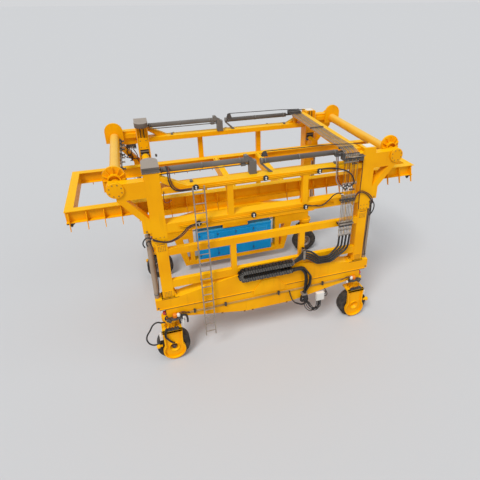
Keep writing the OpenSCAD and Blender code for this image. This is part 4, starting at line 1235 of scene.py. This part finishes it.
def upper_frame_hoses():
    """Single hoses of the near side, on routes of listed points: x, distance out, z."""
    loops = {
        "left_haunch_hose_1": (red_hose, 14, (
            (-2235, -60, 5330), (-2225, 60, 5345), (-2222, 176, 5250), (-2215, 186, 5100), (-2160, 184, 4945),
            (-2050, 182, 4862), (-1893, 172, 4850), (-1720, 166, 4850))),
        "left_haunch_hose_2": (hose_rubber, 14, (
            (-2270, -60, 5335), (-2262, 60, 5350), (-2258, 180, 5240), (-2250, 190, 5080), (-2190, 188, 4915),
            (-2050, 186, 4830), (-1893, 174, 4820), (-1720, 166, 4822))),
        "left_sleeve_hose_1": (red_hose, 15, (
            (-2753, 170, 3700), (-2690, 176, 3672), (-2608, 180, 3645), (-2436, 196, 3604),
            (-2251, 200, 3646),
            (-2083, 196, 3740), (-1910, 180, 3889), (-1730, 166, 3940))),
        "left_sleeve_hose_2": (hose_rubber, 14, (
            (-2753, 176, 3740), (-2690, 180, 3700), (-2600, 190, 3660), (-2430, 204, 3630),
            (-2262, 208, 3680),
            (-2100, 200, 3780), (-1930, 184, 3925), (-1730, 168, 3972))),
        "left_cylinder_hook_hose_1": (hose_rubber, 15, (
            (-2769, 150, 3733), (-2872, 154, 3779), (-2943, 150, 3728), (-2979, 146, 3630),
            (-2949, 140, 3531))),
        "left_cylinder_hook_hose_2": (hose_rubber, 13, (
            (-2800, 156, 3680), (-2866, 160, 3690), (-2905, 156, 3615), (-2880, 148, 3557))),
        "left_sleeve_brown_line": (red_hose, 8, (
            (-2384, 164, 4857), (-2398, 168, 4645), (-2380, 172, 4600), (-2319, 172, 4590),
            (-2240, 170, 4640))),
        "right_black_loop": (hose_rubber, 17, (
            (1290, 166, 4905), (1519, 176, 4900), (1786, 236, 4865), (2012, 262, 4757), (2139, 268, 4581),
            (2156, 266, 4470), (2082, 262, 4400), (2030, 256, 4380))),
        "right_mid_hose": (hose_rubber, 15, (
            (960, 166, 3985), (1180, 176, 3950), (1370, 186, 3935), (1526, 200, 4045), (1678, 230, 4205),
            (1780, 250, 4240), (1840, 256, 4215), (1870, 258, 4150))),
        "right_grey_drop_1": (galvanised, 14, (
            (1657, 200, 5200), (1674, 204, 4986), (1690, 206, 4751), (1712, 214, 4537), (1790, 240, 4430),
            (1880, 252, 4400))),
        "right_red_drop_2": (red_hose, 13, (
            (1700, 200, 5200), (1712, 206, 4980), (1726, 210, 4751), (1752, 220, 4570), (1830, 244, 4440),
            (1930, 256, 4395))),
        "right_leg_red_hose_1": (red_hose, 13, (
            (2240, 240, 3990), (2310, 220, 4140), (2419, 206, 4181), (2569, 196, 4123), (2729, 186, 4000),
            (2815, 176, 3860), (2826, 170, 3760))),
        "right_leg_red_hose_2": (hose_rubber, 12, (
            (2236, 240, 3960), (2314, 214, 4095), (2393, 204, 4140), (2560, 192, 4090), (2700, 182, 3960),
            (2788, 172, 3840), (2800, 168, 3740))),
        "right_cylinder_hose_1": (hose_rubber, 15, (
            (2790, 172, 3850), (2862, 178, 3760), (2880, 176, 3600), (2830, 170, 3470), (2780, 160, 3400))),
        "right_cylinder_hose_2": (hose_rubber, 13, (
            (2740, 168, 3830), (2776, 176, 3720), (2800, 176, 3560), (2790, 168, 3450))),
        "right_leg_drop": (red_hose, 11, (
            (2405, 150, 5080), (2412, 166, 4900), (2418, 166, 4174), (2424, 166, 3800), (2436, 166, 3640))),
    }
    for name, (finish, radius, points) in loops.items():
        hose(name, "upper_frame", finish, [at(-1, *p) for p in points], radius)


def upper_fittings():
    for side, name in SIDES:
        beam_and_leg_fittings(side, name)
    tube_and_arm_fittings()
    hose_column_fittings()
    upper_frame_hoses()


# Fittings of the spreader and the power pack

def spreader_fittings():
    def seam(form):
        for side in (-1, 1):
            face = side * 1.153
            block(form, Vector((-0.012, face, 4.05)), Vector((0.012, face + side * 0.010, 4.30)))
            for i in range(7):
                for dx in (-32, 32):
                    bolt(form, Vector((dx * MM, face, 4.065 + 0.036 * i)), Y * side, 8)
    piece("spreader_splice", "spreader", crane_yellow, seam)

    def member_bolts(form):
        for end in (-1, 1):
            for side in (-1, 1):
                for i in range(4):
                    for x in (590, 690):
                        bolt(form, Vector((end * x * MM, side * (1.02 - 0.06 * i), 4.318)), Z, 9)
    piece("spreader_cross_member_bolts", "spreader", bolt_zinc, member_bolts)

    def carriage_pins(form):
        for side in (-1, 1):
            for end in (-1, 1):
                for z in (4660, 4860):
                    for dx in (-80, 80):
                        bolt(form, at(side, end * LEG_X + dx, -209, z), -outwards(side), 9)
                bar(form, at(side, end * 2306, -610, 4548), at(side, end * 2306, -710, 4548), 30, 20)
    piece("carriage_pins", "spreader", fitting_steel, carriage_pins)

    # Black plates on the carriages' inner faces, behind the rungs: painted shade of the recesses there
    def recess_painted_shade(form):
        for side in (-1, 1):
            for end in (-1, 1):
                side_block(form, side, end * LEG_X - 118, end * LEG_X + 118, -212, -209, 4300, 4600)
    piece("carriage_recess_painted_shade", "spreader", hose_rubber, recess_painted_shade)

    def rungs(form):
        for side in (-1, 1):
            for end in (-1, 1):
                for z in (4352, 4448, 4544):
                    side_block(form, side, end * LEG_X - 118, end * LEG_X + 118, -228, -212, z - 17, z + 17)
    piece("carriage_rungs", "spreader", cylinder_grey, rungs, 3)


def pack_fittings():
    body = "far_beam"
    door_faces = ((PACK_IN - 12, -1), (PACK_OUT + 12, 1))

    def hardware(form):
        for i in range(DOOR_COUNT):
            x0 = door_x(i)
            for out, way in door_faces:
                bar(form, at(1, x0 + DOOR_WIDTH - 60, out + way * 26, 900),
                    at(1, x0 + DOOR_WIDTH - 60, out + way * 26, 1060), 9)
                for z in (900, 1060):
                    bar(form, at(1, x0 + DOOR_WIDTH - 60, out, z),
                        at(1, x0 + DOOR_WIDTH - 60, out + way * 26, z), 8)
                for z in (600, 980, 1360):
                    bar(form, at(1, x0 + 14, out + way * 8, z - 40),
                        at(1, x0 + 14, out + way * 8, z + 40), 12)
    piece("pack_door_handles_and_hinges", body, fitting_steel, hardware)

    def louvres(form):
        for i in (0, DOOR_COUNT - 1):
            x0 = door_x(i)
            for out, way in door_faces:
                for k in range(10):
                    z = 1120 + 26 * k
                    verts = side_block(form, 1, x0 + 110, x0 + DOOR_WIDTH - 110, out, out + way * 10,
                                       z, z + 12)
                    for v in verts:
                        if abs(v.co.y - at(1, 0, out, 0).y) < 1e-4:
                            v.co.z += 6 * MM
    piece("pack_louvres", body, pack_blue, louvres, 1)

    def exhaust(form):
        lathe(form, at(1, 1020, 330, PACK_TOP), Z, [(48, 0), (48, 8), (34, 12), (34, 26)], 24)
        lathe(form, at(1, -900, 200, PACK_TOP), Z, [(70, 0), (70, 12), (40, 16), (40, 24)], 24)
    piece("pack_filler_and_exhaust_flange", body, fitting_steel, exhaust)

    def lid_bolts(form):
        for x in range(-1200, 1201, 240):
            for out in (-120, 452):
                bolt(form, at(1, x, out, PACK_TOP), Z, 9)
    piece("pack_lid_bolts", body, bolt_zinc, lid_bolts)


# Ground and light

def add_stage():
    mesh = bpy.data.meshes.new("floor")
    mesh.from_pydata([(x * 300, y * 300, 0) for x, y in ((-1, -1), (1, -1), (1, 1), (-1, 1))], [],
                     [(0, 1, 2, 3)])
    material, tree = new_material("pale_floor_paint")
    shader = add_node(tree, "ShaderNodeBsdfDiffuse", {"Color": linear("#C9CACB")})
    add_node(tree, "ShaderNodeOutputMaterial", links={"Surface": shader.outputs["BSDF"]})
    mesh.materials.append(material)
    floor = bpy.data.objects.new("floor", mesh)
    bpy.context.scene.collection.objects.link(floor)


def add_light():
    world = bpy.data.worlds.new("studio")
    bpy.context.scene.world = world
    world.use_nodes = True
    tree = world.node_tree
    tree.nodes.clear()
    path = add_node(tree, "ShaderNodeLightPath")
    sky = add_node(tree, "ShaderNodeBackground", {"Color": linear("#F2F4F8"), "Strength": 0.53})
    seen = add_node(tree, "ShaderNodeBackground", {"Color": linear("#D5D6D8"), "Strength": 1.0})
    glossy = add_node(tree, "ShaderNodeMath", {"operation": "ADD"}, {
        0: path.outputs["Is Camera Ray"], 1: path.outputs["Is Glossy Ray"]})
    watched = add_node(tree, "ShaderNodeMath", {"operation": "ADD", "use_clamp": True}, {
        0: glossy.outputs[0], 1: path.outputs["Is Transmission Ray"]})
    both = add_node(tree, "ShaderNodeMixShader", links={
        0: watched.outputs[0], 1: sky.outputs[0], 2: seen.outputs[0]})
    add_node(tree, "ShaderNodeOutputWorld", links={"Surface": both.outputs[0]})
    for name, aim, strength, spread in (("key", (0.45, 0.5, -0.85), 2.2, 22),
                                        ("fill", (-0.7, 0.6, -0.5), 0.5, 60)):
        data = bpy.data.lights.new(name, "SUN")
        data.energy, data.angle = strength, math.radians(spread)
        lamp = bpy.data.objects.new(name, data)
        lamp.rotation_mode = "QUATERNION"
        lamp.rotation_quaternion = Vector(aim).to_track_quat("-Z", "Y")
        bpy.context.scene.collection.objects.link(lamp)


bpy.context.scene.view_settings.view_transform = "Standard"
add_camera()
dress_cad_nodes()
upper_forms()
chain_form()
wheel_forms()
piece("pack_raised_doors", "far_beam", pack_blue, pack_doors, 4)
held_hoses()
portal_fittings()
chain_ribs()
beam_fittings()
wheel_fittings()
upper_fittings()
spreader_fittings()
pack_fittings()
add_stage()
add_light()
